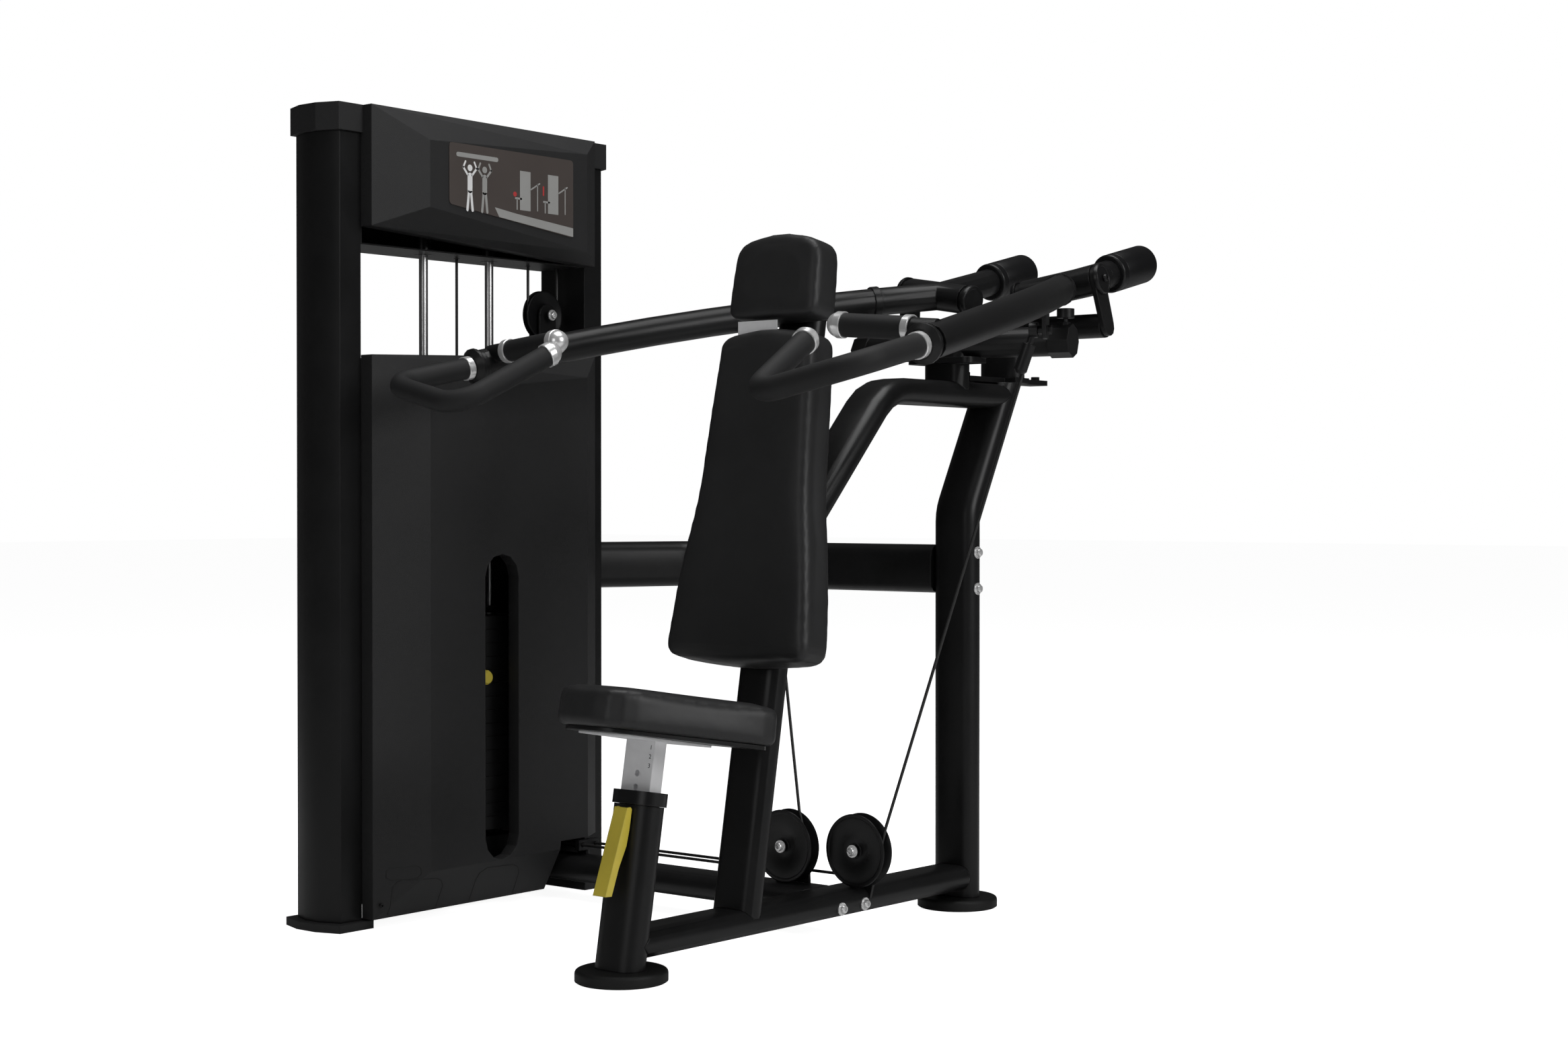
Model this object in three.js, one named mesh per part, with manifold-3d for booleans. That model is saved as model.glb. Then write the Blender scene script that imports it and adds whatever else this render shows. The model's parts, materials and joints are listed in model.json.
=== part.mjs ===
// Shoulder press machine: a weight stack tower on the -X side, a seat frame in the plane x = 0
// and two press arms that swing on tilted pivots behind the user's head.
// Millimetres. +Z up, +Y towards the back of the machine, +X away from the tower.
// Origin: centre of the underside of the front foot disc.
import * as THREE from "three";
import { ConvexGeometry } from "three/addons/geometries/ConvexGeometry.js";
import { mergeVertices } from "three/addons/utils/BufferGeometryUtils.js";
import Module from "manifold-3d";

const wasm = await Module();
wasm.setup();

// ---------------------------------------------------------------- driving dimensions

const GAP = 0.3; // clearance kept between neighbouring pieces
const WELD = 1e-3; // vertices closer than this are one vertex
const ROUND = 18; // facets of a large round piece
const SMALL_ROUND = 12; // facets of a small round piece
const OVAL_SEGMENTS = 3; // half the facets of one rounded edge of a flat-oval tube
const BEND_TURNS = 3; // facets along a tube bend

const TUBE_WIDTH = 100; // flat-oval frame tube, long side
const TUBE_DEPTH = 50; // flat-oval frame tube, short side

// Feet
const FOOT_RADIUS = 81.6;
const FOOT_HEIGHT = 22;
const FOOT_ROUNDING = 6;
const REAR_Y = 1002; // rear foot and rear upright

// Seat post, leaning back with the seat
const LEAN = THREE.MathUtils.degToRad(10);
const POST_Y = -4; // seat post axis at the top of the foot
const POST_WIDTH = 100;
const POST_DEPTH = 60;
const POST_WALL = 4;
const POST_TOP_Z = 301;
const COLLAR_WIDTH = 108;
const COLLAR_DEPTH = 68;
const COLLAR_HEIGHT = 24;
const STEM_WIDTH = 68;
const STEM_DEPTH = 30;
const STEM_BOTTOM_Z = 134;
const PIN_Z_ON_POST = 281; // height of the pop pin on the post axis
const STEM_HOLE_RADIUS = 6;
const STEM_HOLE_PITCH = 25;
const STEM_HOLE_DEPTH = 10;
const STEM_HOLES = 8;

// Base rail and lower crossbeam lie on the same level
const RAIL_Z = 63;
const CROSSBEAM_Y = 585;

// Back column and its braces
const COLUMN_Y = 308; // column axis where it stands on the rail
const COLUMN_TOP_Z = 1235;
const COLUMN_SADDLE_Z = 72; // the column reaches down the rail's shoulders to here
const RAIL_TOP_Z = RAIL_Z + TUBE_DEPTH / 2;
const TOP_TUBE_Z = 1050;
const TOP_TUBE_BEND_Y = 731;
const TOP_TUBE_LEG = THREE.MathUtils.degToRad(43.5);
const TOP_TUBE_BEND = 120;
const UPRIGHT_BEND_Z = 812;
const UPRIGHT_LEAN = THREE.MathUtils.degToRad(28);
const UPRIGHT_BEND = 90;
const UPRIGHT_TOP_Z = 1079;
const HEAD_PLATE_Z = 1078.5; // plate on the upright that ties the two crossbar posts together
const HEAD_PLATE_THICKNESS = 11;
const HEAD_PLATE_HALF_WIDTH = 22;
const HEAD_PLATE_FRONT_Y = 1015;
const HEAD_PLATE_REAR_Y = 1302;

// Upper crossbeam, on edge, from the rear upright to the tower
const UPPER_BEAM_Z = 692.5;
const UPPER_BEAM_BEND = 80;

// Tower
const TOWER_X = -807; // centre plane of the tower
const TOWER_MID_Y = 359.5;
const UPRIGHT_HALF_WIDTH = 65;
const TOWER_INNER_Y = 50; // inner face of the front tower upright
const TOWER_BACK_Y = 669; // inner face of the rear tower upright
const TOWER_FACE_Y = -22; // crown of the convex outer face
const TOWER_SHOULDER_Y = -2;
const TOWER_TUBE_Z = 1546;
const TOWER_TOP_Z = 1600;
const CAP_OVERHANG = 8;
const TOWER_FOOT_THICKNESS = 16;
const COVER_BACK_X = -742;
const COVER_EDGE_X = -710;
const COVER_FACE_X = -673;
const COVER_WALL = 4;

// Weight stack
const STACK_Y = 361;
const STACK_FRONT_X = -745;
const STACK_BACK_X = -866;
const STACK_HALF_WIDTH = 145;
const PLATE_PITCH = 27.5;
const PLATE_GROOVE = 1.5;
const STACK_BOTTOM_Z = 156;
const REST_PLATES = 11;
const LIFTED_PLATES = 4;
const GUIDE_ROD_RADIUS = 9.3;
const GUIDE_ROD_OFFSET = 91;
const GUIDE_ROD_TOP_Z = 1327;
const SELECTOR_ROD_RADIUS = 9;
const PIN_RADIUS = 4.5;

// Floating pulley
const BLOCK_Y = 608;
const BLOCK_Z = 1228;
const BLOCK_RADIUS = 53;
const BLOCK_GROOVE = 39;
const BLOCK_THICKNESS = 16;

// Floor pulleys
const FLOOR_PULLEY_RADIUS = 71;
const FLOOR_PULLEY_GROOVE = 46.7;
const FLOOR_PULLEY_THICKNESS = 28;
const FLOOR_PULLEY_Z = 160;
const PULLEY_A = { x: -112, y: 587 };
const PULLEY_B = { x: 36, y: 625 };
const CABLE_RADIUS = 3;

// Press arms; x values are for the left arm and are mirrored for the right arm
const ARM_RADIUS = 30;
const ARM_TIP = [537.9, 168.3, 1092.9];
const ARM_CONTROL = [457.2, 716.3, 1216.7];
const ARM_ROOT = [151.2, 1148.2, 1269.7];
const ARM_STEPS = 8;
const ARM_FACETS = 14;
const PIVOT_OUTER = [252, 1161, 1286];
const PIVOT_INNER = [54, 1136, 1254];
const PIVOT_RADIUS = 31;
const PIVOT_CAP_THICKNESS = 10;
const LINK_THICKNESS = 10;
const LINK_RADIUS = 28;
const COUNTERWEIGHT_FRONT = [153, 1335, 1312];
const COUNTERWEIGHT_REAR = [152.6, 1475, 1345];
const COUNTERWEIGHT_RADIUS = 41;
const COUNTERWEIGHT_LENGTH = 139;

// Grips; the main grip runs from the arm tip round two corners and back
const GRIP_RADIUS = 20.5;
const GRIP_START = [534.8, 143.2, 1087.3];
const GRIP_OUTER = [556.8, -36.8, 1050];
const GRIP_INNER = [346.8, -64, 1003.2];
const GRIP_END = [306.3, 128.8, 1102.9];
const GRIP_BEND = 55;
const SHORT_GRIP_ROOT = [485, 193, 1119];
const SHORT_GRIP_END = [341, 182, 1131];
const RING_RADIUS = 23;
const BALL_RADIUS = 21.5;
const CONE_RADIUS = 35.5;
const CONE_TIP_RADIUS = 26;
const CONE_LENGTH = 28;

// Stops and pivot supports
const STOP_BAR_Y = 965;
const STOP_BAR_Z = 1151;
const STOP_BAR_END = [264, 1026];
const STOP_BAR_RADIUS = 30;
const PIVOT_BAR_Y = 1172;
const PIVOT_BAR_Z = 1190;
const PIVOT_BAR_RADIUS = 25;

// Seat and pads
const SEAT_TILT = THREE.MathUtils.degToRad(9.5);
const SEAT_FRONT_Y = -102;
const SEAT_FRONT_Z = 452;
const SEAT_LENGTH = 310;
const SEAT_FRONT_HALF = 74;
const SEAT_REAR_HALF = 205;
const SEAT_CORNER = 48;
const SEAT_THICKNESS = 66;
const BOARD_THICKNESS = 7;
const PAD_BEVEL = 12;
const PAD_SLOPE = 0.1626; // backward lean of the back pad, y per z

// ---------------------------------------------------------------- shape helpers

const v = (x, y, z) => new THREE.Vector3(x, y, z);
const X = v(1, 0, 0);
const Y = v(0, 1, 0);
const Z = v(0, 0, 1);
const point = (coordinates, side = 1) => v(side * coordinates[0], coordinates[1], coordinates[2]);

// A closed geometry as a solid that can be joined and cut.
function solid(geometry) {
  const bare = new THREE.BufferGeometry();
  const source = geometry.index ? geometry.toNonIndexed() : geometry;
  bare.setAttribute("position", source.getAttribute("position"));
  const welded = mergeVertices(bare, WELD);
  const corners = welded.index.array;
  const kept = [];
  for (let i = 0; i < corners.length; i += 3) {
    const [a, b, c] = corners.slice(i, i + 3);
    if (a !== b && b !== c && c !== a) kept.push(a, b, c);
  }
  return new wasm.Manifold(
    new wasm.Mesh({
      numProp: 3,
      vertProperties: welded.getAttribute("position").array,
      triVerts: new Uint32Array(kept),
    }),
  );
}

// A solid as a geometry that a mesh can show.
function geometryOf(body) {
  const mesh = body.getMesh();
  const geometry = new THREE.BufferGeometry();
  geometry.setAttribute("position", new THREE.BufferAttribute(mesh.vertProperties, 3));
  geometry.setIndex(new THREE.BufferAttribute(mesh.triVerts, 1));
  geometry.computeVertexNormals();
  return geometry;
}

function join(first, ...others) {
  return others.reduce((sum, body) => sum.add(body), first);
}

function cut(body, ...tools) {
  return tools.reduce((rest, tool) => rest.subtract(tool), body);
}

function block(x0, x1, y0, y1, z0, z1) {
  const geometry = new THREE.BoxGeometry(x1 - x0, y1 - y0, z1 - z0);
  geometry.translate((x0 + x1) / 2, (y0 + y1) / 2, (z0 + z1) / 2);
  return solid(geometry);
}

// Turns a geometry modelled up the +Y axis so that it starts at one point and heads for another.
function aim(geometry, from, to) {
  const heading = to.clone().sub(from).normalize();
  geometry.applyQuaternion(new THREE.Quaternion().setFromUnitVectors(Y, heading));
  geometry.translate(from.x, from.y, from.z);
  return geometry;
}

function rod(from, to, radius, endRadius = radius, facets = SMALL_ROUND) {
  const length = from.distanceTo(to);
  const geometry = new THREE.CylinderGeometry(endRadius, radius, length, facets);
  geometry.translate(0, length / 2, 0);
  return solid(aim(geometry, from, to));
}

// A turned piece: radius and height pairs, starting and ending on the axis, lowest height first.
function turned(profile, from, to, facets = ROUND) {
  const points = profile.map(([radius, height]) => new THREE.Vector2(radius, height));
  return solid(aim(new THREE.LatheGeometry(points, facets), from, to));
}

// A flat plate: an outline in the across-up plane, thickened along across x up.
function slab(shape, thickness, origin, across, up) {
  const geometry = new THREE.ExtrudeGeometry(shape, {
    depth: thickness,
    bevelEnabled: false,
    curveSegments: OVAL_SEGMENTS,
  });
  const frame = new THREE.Matrix4().makeBasis(across, up, across.clone().cross(up));
  geometry.applyMatrix4(frame.setPosition(origin));
  return solid(geometry);
}

// A cushion: a plate with a rounded rim.
function cushion(shape, thickness, origin, across, up) {
  const geometry = new THREE.ExtrudeGeometry(shape, {
    depth: thickness - 2 * PAD_BEVEL,
    bevelThickness: PAD_BEVEL,
    bevelSize: PAD_BEVEL,
    bevelOffset: -PAD_BEVEL,
    bevelSegments: 2,
    curveSegments: OVAL_SEGMENTS,
  });
  geometry.translate(0, 0, PAD_BEVEL);
  const frame = new THREE.Matrix4().makeBasis(across, up, across.clone().cross(up));
  geometry.applyMatrix4(frame.setPosition(origin));
  return solid(geometry);
}

// A closed outline with its corners rounded, by one radius or by one for each corner.
function rounded(corners, radii) {
  const shape = new THREE.Shape();
  const at = corners.map(([x, y]) => new THREE.Vector2(x, y));
  at.forEach((corner, i) => {
    const before = at.at(i - 1);
    const after = at[(i + 1) % at.length];
    const radius = Array.isArray(radii) ? radii[i] : radii;
    const start = corner.clone().add(before.clone().sub(corner).setLength(radius));
    const end = corner.clone().add(after.clone().sub(corner).setLength(radius));
    if (i === 0) shape.moveTo(start.x, start.y);
    else shape.lineTo(start.x, start.y);
    shape.quadraticCurveTo(corner.x, corner.y, end.x, end.y);
  });
  shape.closePath();
  return shape;
}

function outline(corners) {
  return new THREE.Shape(corners.map(([x, y]) => new THREE.Vector2(x, y)));
}

// Two half rounds joined by straight sides.
function flatOval(width, height) {
  const shape = new THREE.Shape();
  const radius = Math.min(width, height) / 2;
  const reach = Math.max(width, height) / 2 - radius;
  const turn = width >= height ? 0 : Math.PI / 2;
  const quarter = Math.PI / 2;
  const [cx, cy] = [reach * Math.cos(turn), reach * Math.sin(turn)];
  shape.absarc(cx, cy, radius, turn - quarter, turn + quarter);
  shape.absarc(-cx, -cy, radius, turn + quarter, turn + 3 * quarter);
  return shape;
}

function disc(radius, facets = SMALL_ROUND) {
  const corners = Array.from({ length: facets }, (_, i) => {
    const turn = (2 * Math.PI * i) / facets;
    return [radius * Math.cos(turn), radius * Math.sin(turn)];
  });
  return outline(corners);
}

// The centre line of a bar: points with headings, and one direction that stays on the
// section's first axis.
class Route extends THREE.Curve {
  constructor(stations, side) {
    super();
    this.stations = stations;
    this.side = side;
    this.steps = stations.length - 1;
  }
  getPoint(u, target = new THREE.Vector3()) {
    return target.copy(this.stations[Math.round(u * this.steps)].at);
  }
  getPointAt(u, target) {
    return this.getPoint(u, target);
  }
  computeFrenetFrames() {
    const tangents = this.stations.map((station) => station.heading);
    const normals = tangents.map((heading) => {
      const drift = heading.clone().multiplyScalar(heading.dot(this.side));
      return this.side.clone().sub(drift).normalize();
    });
    const binormals = tangents.map((heading, i) => heading.clone().cross(normals[i]));
    return { tangents, normals, binormals };
  }
}

// Stations of a bar that is straight between corners and turns each inner corner on a bend.
function bends(corners, radius) {
  const heading = (i) => corners[i + 1].clone().sub(corners[i]).normalize();
  const stations = [{ at: corners[0], heading: heading(0) }];
  for (let i = 1; i < corners.length - 1; i += 1) {
    const into = heading(i - 1);
    const angle = into.angleTo(heading(i));
    const reach = radius * Math.tan(angle / 2);
    const start = corners[i].clone().addScaledVector(into, -reach);
    const axis = into.clone().cross(heading(i)).normalize();
    const centre = start.clone().addScaledVector(axis.clone().cross(into), radius);
    for (let k = 0; k <= BEND_TURNS; k += 1) {
      const turn = (angle * k) / BEND_TURNS;
      stations.push({
        at: start.clone().sub(centre).applyAxisAngle(axis, turn).add(centre),
        heading: into.clone().applyAxisAngle(axis, turn),
      });
    }
  }
  stations.push({ at: corners.at(-1), heading: heading(corners.length - 2) });
  return stations;
}

function sweep(shape, stations, side) {
  const route = new Route(stations, side);
  return solid(
    new THREE.ExtrudeGeometry(shape, {
      extrudePath: route,
      steps: route.steps,
      curveSegments: OVAL_SEGMENTS,
    }),
  );
}

// A flat-oval bar whose long side runs along the given direction.
function bar(corners, side, radius = 0, width = TUBE_WIDTH, depth = TUBE_DEPTH) {
  return sweep(flatOval(width, depth), bends(corners, radius), side);
}

// A hull round several outlines, each given as points of space.
function hull(points) {
  return solid(new ConvexGeometry(points));
}

const group = new THREE.Group();

function add(name, body, colour, metalness, roughness) {
  const material = new THREE.MeshStandardMaterial({ color: colour, metalness, roughness });
  const mesh = new THREE.Mesh(geometryOf(body), material);
  mesh.name = name;
  group.add(mesh);
}

const addCoated = (name, body) => add(name, body, 0x1c1c1c, 0.3, 0.45);
const addPlastic = (name, body) => add(name, body, 0x262626, 0, 0.65);
const addRubber = (name, body) => add(name, body, 0x151515, 0, 0.8);
const addSteel = (name, body) => add(name, body, 0xb8b8b8, 1, 0.3);
const addYellow = (name, body) => add(name, body, 0xb5a33c, 0, 0.5);

// ---------------------------------------------------------------- seat frame

const postAxis = v(0, Math.sin(LEAN), Math.cos(LEAN));
const postFront = v(0, -Math.cos(LEAN), Math.sin(LEAN));
const postPoint = (z) => v(0, POST_Y + (z - FOOT_HEIGHT) * Math.tan(LEAN), z);
const columnPoint = (z) => v(0, COLUMN_Y + (z - RAIL_TOP_Z) * Math.tan(LEAN), z);
const belowFloor = (z) => block(-500, 500, -500, 1500, z - 200, z);

function foot() {
  const shoulder = FOOT_RADIUS - FOOT_ROUNDING;
  return turned(
    [
      [0, 0],
      [FOOT_RADIUS, 0],
      [FOOT_RADIUS, FOOT_HEIGHT - FOOT_ROUNDING],
      [FOOT_RADIUS - FOOT_ROUNDING * 0.3, FOOT_HEIGHT - FOOT_ROUNDING * 0.3],
      [shoulder, FOOT_HEIGHT],
      [0, FOOT_HEIGHT],
    ],
    v(0, 0, 0),
    v(0, 0, 1),
    36,
  );
}

function placeFoot(name, y) {
  addRubber(name, foot());
  group.children.at(-1).position.y = y;
}

placeFoot("front_foot", 0);
placeFoot("rear_foot", REAR_Y);

const postCorners = [postPoint(0), postPoint(POST_TOP_Z)];
const postOuter = bar(postCorners, X, 0, POST_WIDTH, POST_DEPTH);
const postBore = bar(
  [postPoint(-20), postPoint(POST_TOP_Z + 20)],
  X,
  0,
  POST_WIDTH - 2 * POST_WALL,
  POST_DEPTH - 2 * POST_WALL,
);
const PIN_AT = postPoint(PIN_Z_ON_POST);
const pinBore = rod(
  PIN_AT.clone().addScaledVector(postFront, STEM_DEPTH / 2 + 1),
  PIN_AT.clone().addScaledVector(postFront, POST_DEPTH / 2 + 10),
  7,
);
addCoated("seat_post", cut(postOuter, postBore, pinBore, belowFloor(FOOT_HEIGHT + GAP)));

const collarBottom = postPoint(POST_TOP_Z).addScaledVector(postAxis, GAP);
const collarTop = collarBottom.clone().addScaledVector(postAxis, COLLAR_HEIGHT);
const stemHole = slab(
  outline([
    [-STEM_WIDTH / 2 - 1, -STEM_DEPTH / 2 - 1],
    [STEM_WIDTH / 2 + 1, -STEM_DEPTH / 2 - 1],
    [STEM_WIDTH / 2 + 1, STEM_DEPTH / 2 + 1],
    [-STEM_WIDTH / 2 - 1, STEM_DEPTH / 2 + 1],
  ]),
  60,
  collarBottom.clone().addScaledVector(postAxis, -20),
  X,
  postAxis.clone().cross(X),
);
addPlastic(
  "seat_post_collar",
  cut(bar([collarBottom, collarTop], X, 0, COLLAR_WIDTH, COLLAR_DEPTH), stemHole),
);

// The post's outline grown by the gap, to trim what meets it.
const grownPost = bar([postPoint(0), postPoint(200)], X, 0, POST_WIDTH + 2 * GAP, POST_DEPTH + 2 * GAP);
const railStart = postPoint(RAIL_Z).setZ(RAIL_Z);
const railEnd = v(0, REAR_Y - TUBE_DEPTH / 2 - GAP, RAIL_Z);
const rail = bar([railStart, railEnd], X);
addCoated("base_rail", cut(rail, grownPost, block(-60, 60, -80, railStart.y, 0, 100)));

const columnCorners = [columnPoint(0), columnPoint(COLUMN_TOP_Z)];
const grownRail = bar(
  [v(0, 100, RAIL_Z), v(0, 900, RAIL_Z)],
  X,
  0,
  TUBE_WIDTH + 2 * GAP,
  TUBE_DEPTH + 2 * GAP,
);
addCoated("back_column", cut(bar(columnCorners, X), grownRail, belowFloor(COLUMN_SADDLE_Z)));

const uprightRise = (z) => (z - UPRIGHT_BEND_Z) * Math.tan(UPRIGHT_LEAN);
const uprightCorners = [
  v(0, REAR_Y, FOOT_HEIGHT + GAP),
  v(0, REAR_Y, UPRIGHT_BEND_Z),
  v(0, REAR_Y + uprightRise(UPRIGHT_TOP_Z + 60), UPRIGHT_TOP_Z + 60),
];
const aboveUpright = block(-300, 300, 900, 1400, UPRIGHT_TOP_Z, UPRIGHT_TOP_Z + 200);
const PIVOT_POST_Y = 1165;
const headPlate = (x, y0, y1) =>
  block(-x, x, y0, y1, HEAD_PLATE_Z, HEAD_PLATE_Z + HEAD_PLATE_THICKNESS);
const plateBolt = (y) => rod(v(0, y, HEAD_PLATE_Z + 5), v(0, y, HEAD_PLATE_Z + 19), 9, 9, 6);
addCoated(
  "rear_upright",
  join(
    cut(bar(uprightCorners, X, UPRIGHT_BEND), aboveUpright),
    headPlate(HEAD_PLATE_HALF_WIDTH, HEAD_PLATE_FRONT_Y, HEAD_PLATE_REAR_Y),
    headPlate(TUBE_WIDTH / 2, PIVOT_POST_Y - TUBE_DEPTH / 2, PIVOT_POST_Y + TUBE_DEPTH / 2),
    plateBolt(HEAD_PLATE_REAR_Y - 14),
    plateBolt(HEAD_PLATE_FRONT_Y + 16),
  ),
);

const TOP_TUBE_LEG_DROP = 320;
const topTubeCorners = [
  v(0, TOP_TUBE_BEND_Y - TOP_TUBE_LEG_DROP * Math.tan(TOP_TUBE_LEG), TOP_TUBE_Z - TOP_TUBE_LEG_DROP),
  v(0, TOP_TUBE_BEND_Y, TOP_TUBE_Z),
  v(0, REAR_Y + uprightRise(TOP_TUBE_Z), TOP_TUBE_Z),
];
const grown = (corners, radius) =>
  bar(corners, X, radius, TUBE_WIDTH + 2 * GAP, TUBE_DEPTH + 2 * GAP);
const aheadOfColumn = (z) => columnPoint(z).setY(columnPoint(z).y - TUBE_DEPTH);
const beforeColumn = bar([aheadOfColumn(600), aheadOfColumn(1000)], X, 0, 240, 2 * TUBE_DEPTH);
addCoated(
  "top_tube",
  cut(
    bar(topTubeCorners, X, TOP_TUBE_BEND),
    grown([columnPoint(500), columnPoint(1100)], 0),
    beforeColumn,
    grown(uprightCorners, UPRIGHT_BEND),
  ),
);

// Lower crossbeam, from the tower's base beam to the side of the rail
const BASE_BEAM_X = TOWER_X + TUBE_WIDTH / 2;
const crossbeamCorners = [v(BASE_BEAM_X + GAP, CROSSBEAM_Y, RAIL_Z), v(0, CROSSBEAM_Y, RAIL_Z)];
addCoated("lower_crossbeam", cut(bar(crossbeamCorners, Y), grownRail, block(0, 90, 400, 800, 0, 200)));

// Upper crossbeam: along the rear upright's side, then forward to the tower
const upperCorners = [
  v(-TUBE_WIDTH / 2 - GAP, REAR_Y, UPPER_BEAM_Z),
  v(-715, REAR_Y, UPPER_BEAM_Z),
  v(TOWER_X, TOWER_BACK_Y + 78, UPPER_BEAM_Z),
];
const towerRearSkin = block(-900, -700, 500, TOWER_BACK_Y + 74, 500, 900);
addCoated("upper_crossbeam", cut(bar(upperCorners, Z, UPPER_BEAM_BEND), towerRearSkin));

// ---------------------------------------------------------------- tower

const TOWER_LEFT_X = TOWER_X - UPRIGHT_HALF_WIDTH;
const TOWER_RIGHT_X = TOWER_X + UPRIGHT_HALF_WIDTH;

// Section of a tower upright: flat inside, convex outside; grown by a margin for caps and feet.
function uprightSection(margin, isRear) {
  const mirror = (y) => (isRear ? 2 * TOWER_MID_Y - y : y);
  const inner = TOWER_INNER_Y + margin;
  const shoulder = TOWER_SHOULDER_Y - margin;
  const crown = 2 * (TOWER_FACE_Y - margin) - shoulder;
  const shape = new THREE.Shape();
  shape.moveTo(TOWER_RIGHT_X + margin, mirror(inner));
  shape.lineTo(TOWER_LEFT_X - margin, mirror(inner));
  shape.lineTo(TOWER_LEFT_X - margin, mirror(shoulder));
  shape.quadraticCurveTo(TOWER_X, mirror(crown), TOWER_RIGHT_X + margin, mirror(shoulder));
  shape.closePath();
  return shape;
}

function towerPiece(margin, isRear, z0, z1) {
  return slab(uprightSection(margin, isRear), z1 - z0, v(0, 0, z0), X, Y);
}

const capReach = (isRear) =>
  isRear
    ? block(-900, -700, 600, TOWER_BACK_Y - GAP, TOWER_TUBE_Z - 50, TOWER_TOP_Z + 50)
    : block(-900, -700, TOWER_INNER_Y + GAP, 150, TOWER_TUBE_Z - 50, TOWER_TOP_Z + 50);

for (const [end, isRear] of [
  ["front", false],
  ["rear", true],
]) {
  addCoated("tower_" + end + "_upright", towerPiece(0, isRear, TOWER_FOOT_THICKNESS + GAP, TOWER_TUBE_Z));
  addPlastic(
    "tower_" + end + "_cap",
    cut(towerPiece(CAP_OVERHANG, isRear, TOWER_TUBE_Z + GAP, TOWER_TOP_Z), capReach(isRear)),
  );
  addPlastic("tower_" + end + "_foot", towerPiece(2 * CAP_OVERHANG, isRear, 0, TOWER_FOOT_THICKNESS));
}

// Moulded cover: a shallow pyramid between a border and a raised face, given as (y, z) corners,
// hollow and open at the back.
function cover(border, face) {
  const ring = (corners, x) => corners.map(([y, z]) => v(x, y, z));
  const middle = border.reduce(([a, b], [y, z]) => [a + y / border.length, b + z / border.length], [0, 0]);
  const inset = (corners) =>
    corners.map(([y, z]) => [
      y - Math.sign(y - middle[0]) * COVER_WALL,
      z - Math.sign(z - middle[1]) * COVER_WALL,
    ]);
  const shell = hull([
    ...ring(border, COVER_BACK_X),
    ...ring(border, COVER_EDGE_X),
    ...ring(face, COVER_FACE_X),
  ]);
  const hollow = hull([
    ...ring(inset(border), COVER_BACK_X - 10),
    ...ring(inset(border), COVER_EDGE_X - COVER_WALL / 2),
    ...ring(inset(face), COVER_FACE_X - COVER_WALL),
  ]);
  return cut(shell, hollow);
}

const COVER_FRONT_Y = TOWER_INNER_Y + GAP;
const COVER_REAR_Y = TOWER_BACK_Y - GAP;
const headerBorder = [
  [COVER_FRONT_Y, 1600],
  [COVER_REAR_Y, 1598],
  [COVER_REAR_Y, 1331],
  [COVER_FRONT_Y, 1365],
];
const headerFace = [
  [168, 1540],
  [608, 1560],
  [608, 1355],
  [168, 1409],
];
addPlastic("header_cover", cover(headerBorder, headerFace));

// Placard with its lower edge cut on a slope, standing proud of the header's face
const placardOutline = rounded(
  [
    [217, 1542],
    [564, 1542],
    [564, 1381],
    [217, 1420],
  ],
  9,
);
const PLACARD_THICKNESS = 1.5;
const placardOrigin = v(COVER_FACE_X + GAP, 0, 0);
add(
  "instruction_placard",
  slab(placardOutline, PLACARD_THICKNESS, placardOrigin, Y, Z),
  0x463f3b,
  0,
  0.5,
);

// Sheet box between the uprights behind the header cover, open towards the cover, with holes
// in its floor for the cables
const HEADER_WALL = 3;
const boxOutline = (margin) => [
  [COVER_FRONT_Y + GAP + margin, 1331 + margin],
  [COVER_REAR_Y - GAP - margin, 1331 + margin],
  [COVER_REAR_Y - GAP - margin, 1590 - margin],
  [COVER_FRONT_Y + GAP + margin, 1590 - margin],
];
const headerBox = cut(
  slab(outline(boxOutline(0)), COVER_BACK_X - GAP - TOWER_LEFT_X, v(TOWER_LEFT_X, 0, 0), Y, Z),
  slab(outline(boxOutline(HEADER_WALL)), 200, v(TOWER_LEFT_X + HEADER_WALL, 0, 0), Y, Z),
);
const SLING_RADIUS = BLOCK_GROOVE + CABLE_RADIUS + 1;
const blockCableY = [BLOCK_Y - SLING_RADIUS, BLOCK_Y + SLING_RADIUS];
const cableHoles = [STACK_Y, ...blockCableY].map((y) =>
  rod(v(TOWER_X, y, 1300), v(TOWER_X, y, 1345), 7, 7, 12),
);
const rodY = [STACK_Y - GUIDE_ROD_OFFSET, STACK_Y + GUIDE_ROD_OFFSET];
addCoated("header_box", cut(headerBox, ...cableHoles));

// Lower cover, with a slot for the selector pin and a cut-away over the crossbeam
const lowerBorder = [
  [COVER_FRONT_Y, 1116],
  [COVER_REAR_Y, 1139],
  [COVER_REAR_Y, 23],
  [COVER_FRONT_Y, 19],
];
const lowerFace = [
  [168, 1044],
  [608, 1092],
  [608, 108],
  [168, 103],
];
const SLOT_Y0 = 314;
const SLOT_Y1 = 407;
const SLOT_Z0 = 105;
const SLOT_Z1 = 725;
const SLOT_DEPTH = 30;
const slotOrigin = v(COVER_FACE_X - SLOT_DEPTH, (SLOT_Y0 + SLOT_Y1) / 2, (SLOT_Z0 + SLOT_Z1) / 2);
const slotShape = (margin) => flatOval(SLOT_Y1 - SLOT_Y0 + 2 * margin, SLOT_Z1 - SLOT_Z0 + 2 * margin);
const slotWall = slab(slotShape(COVER_WALL), SLOT_DEPTH - COVER_WALL / 2, slotOrigin, Y, Z);
const slotHole = slab(slotShape(0), 200, slotOrigin.clone().setX(COVER_BACK_X), Y, Z);
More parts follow.
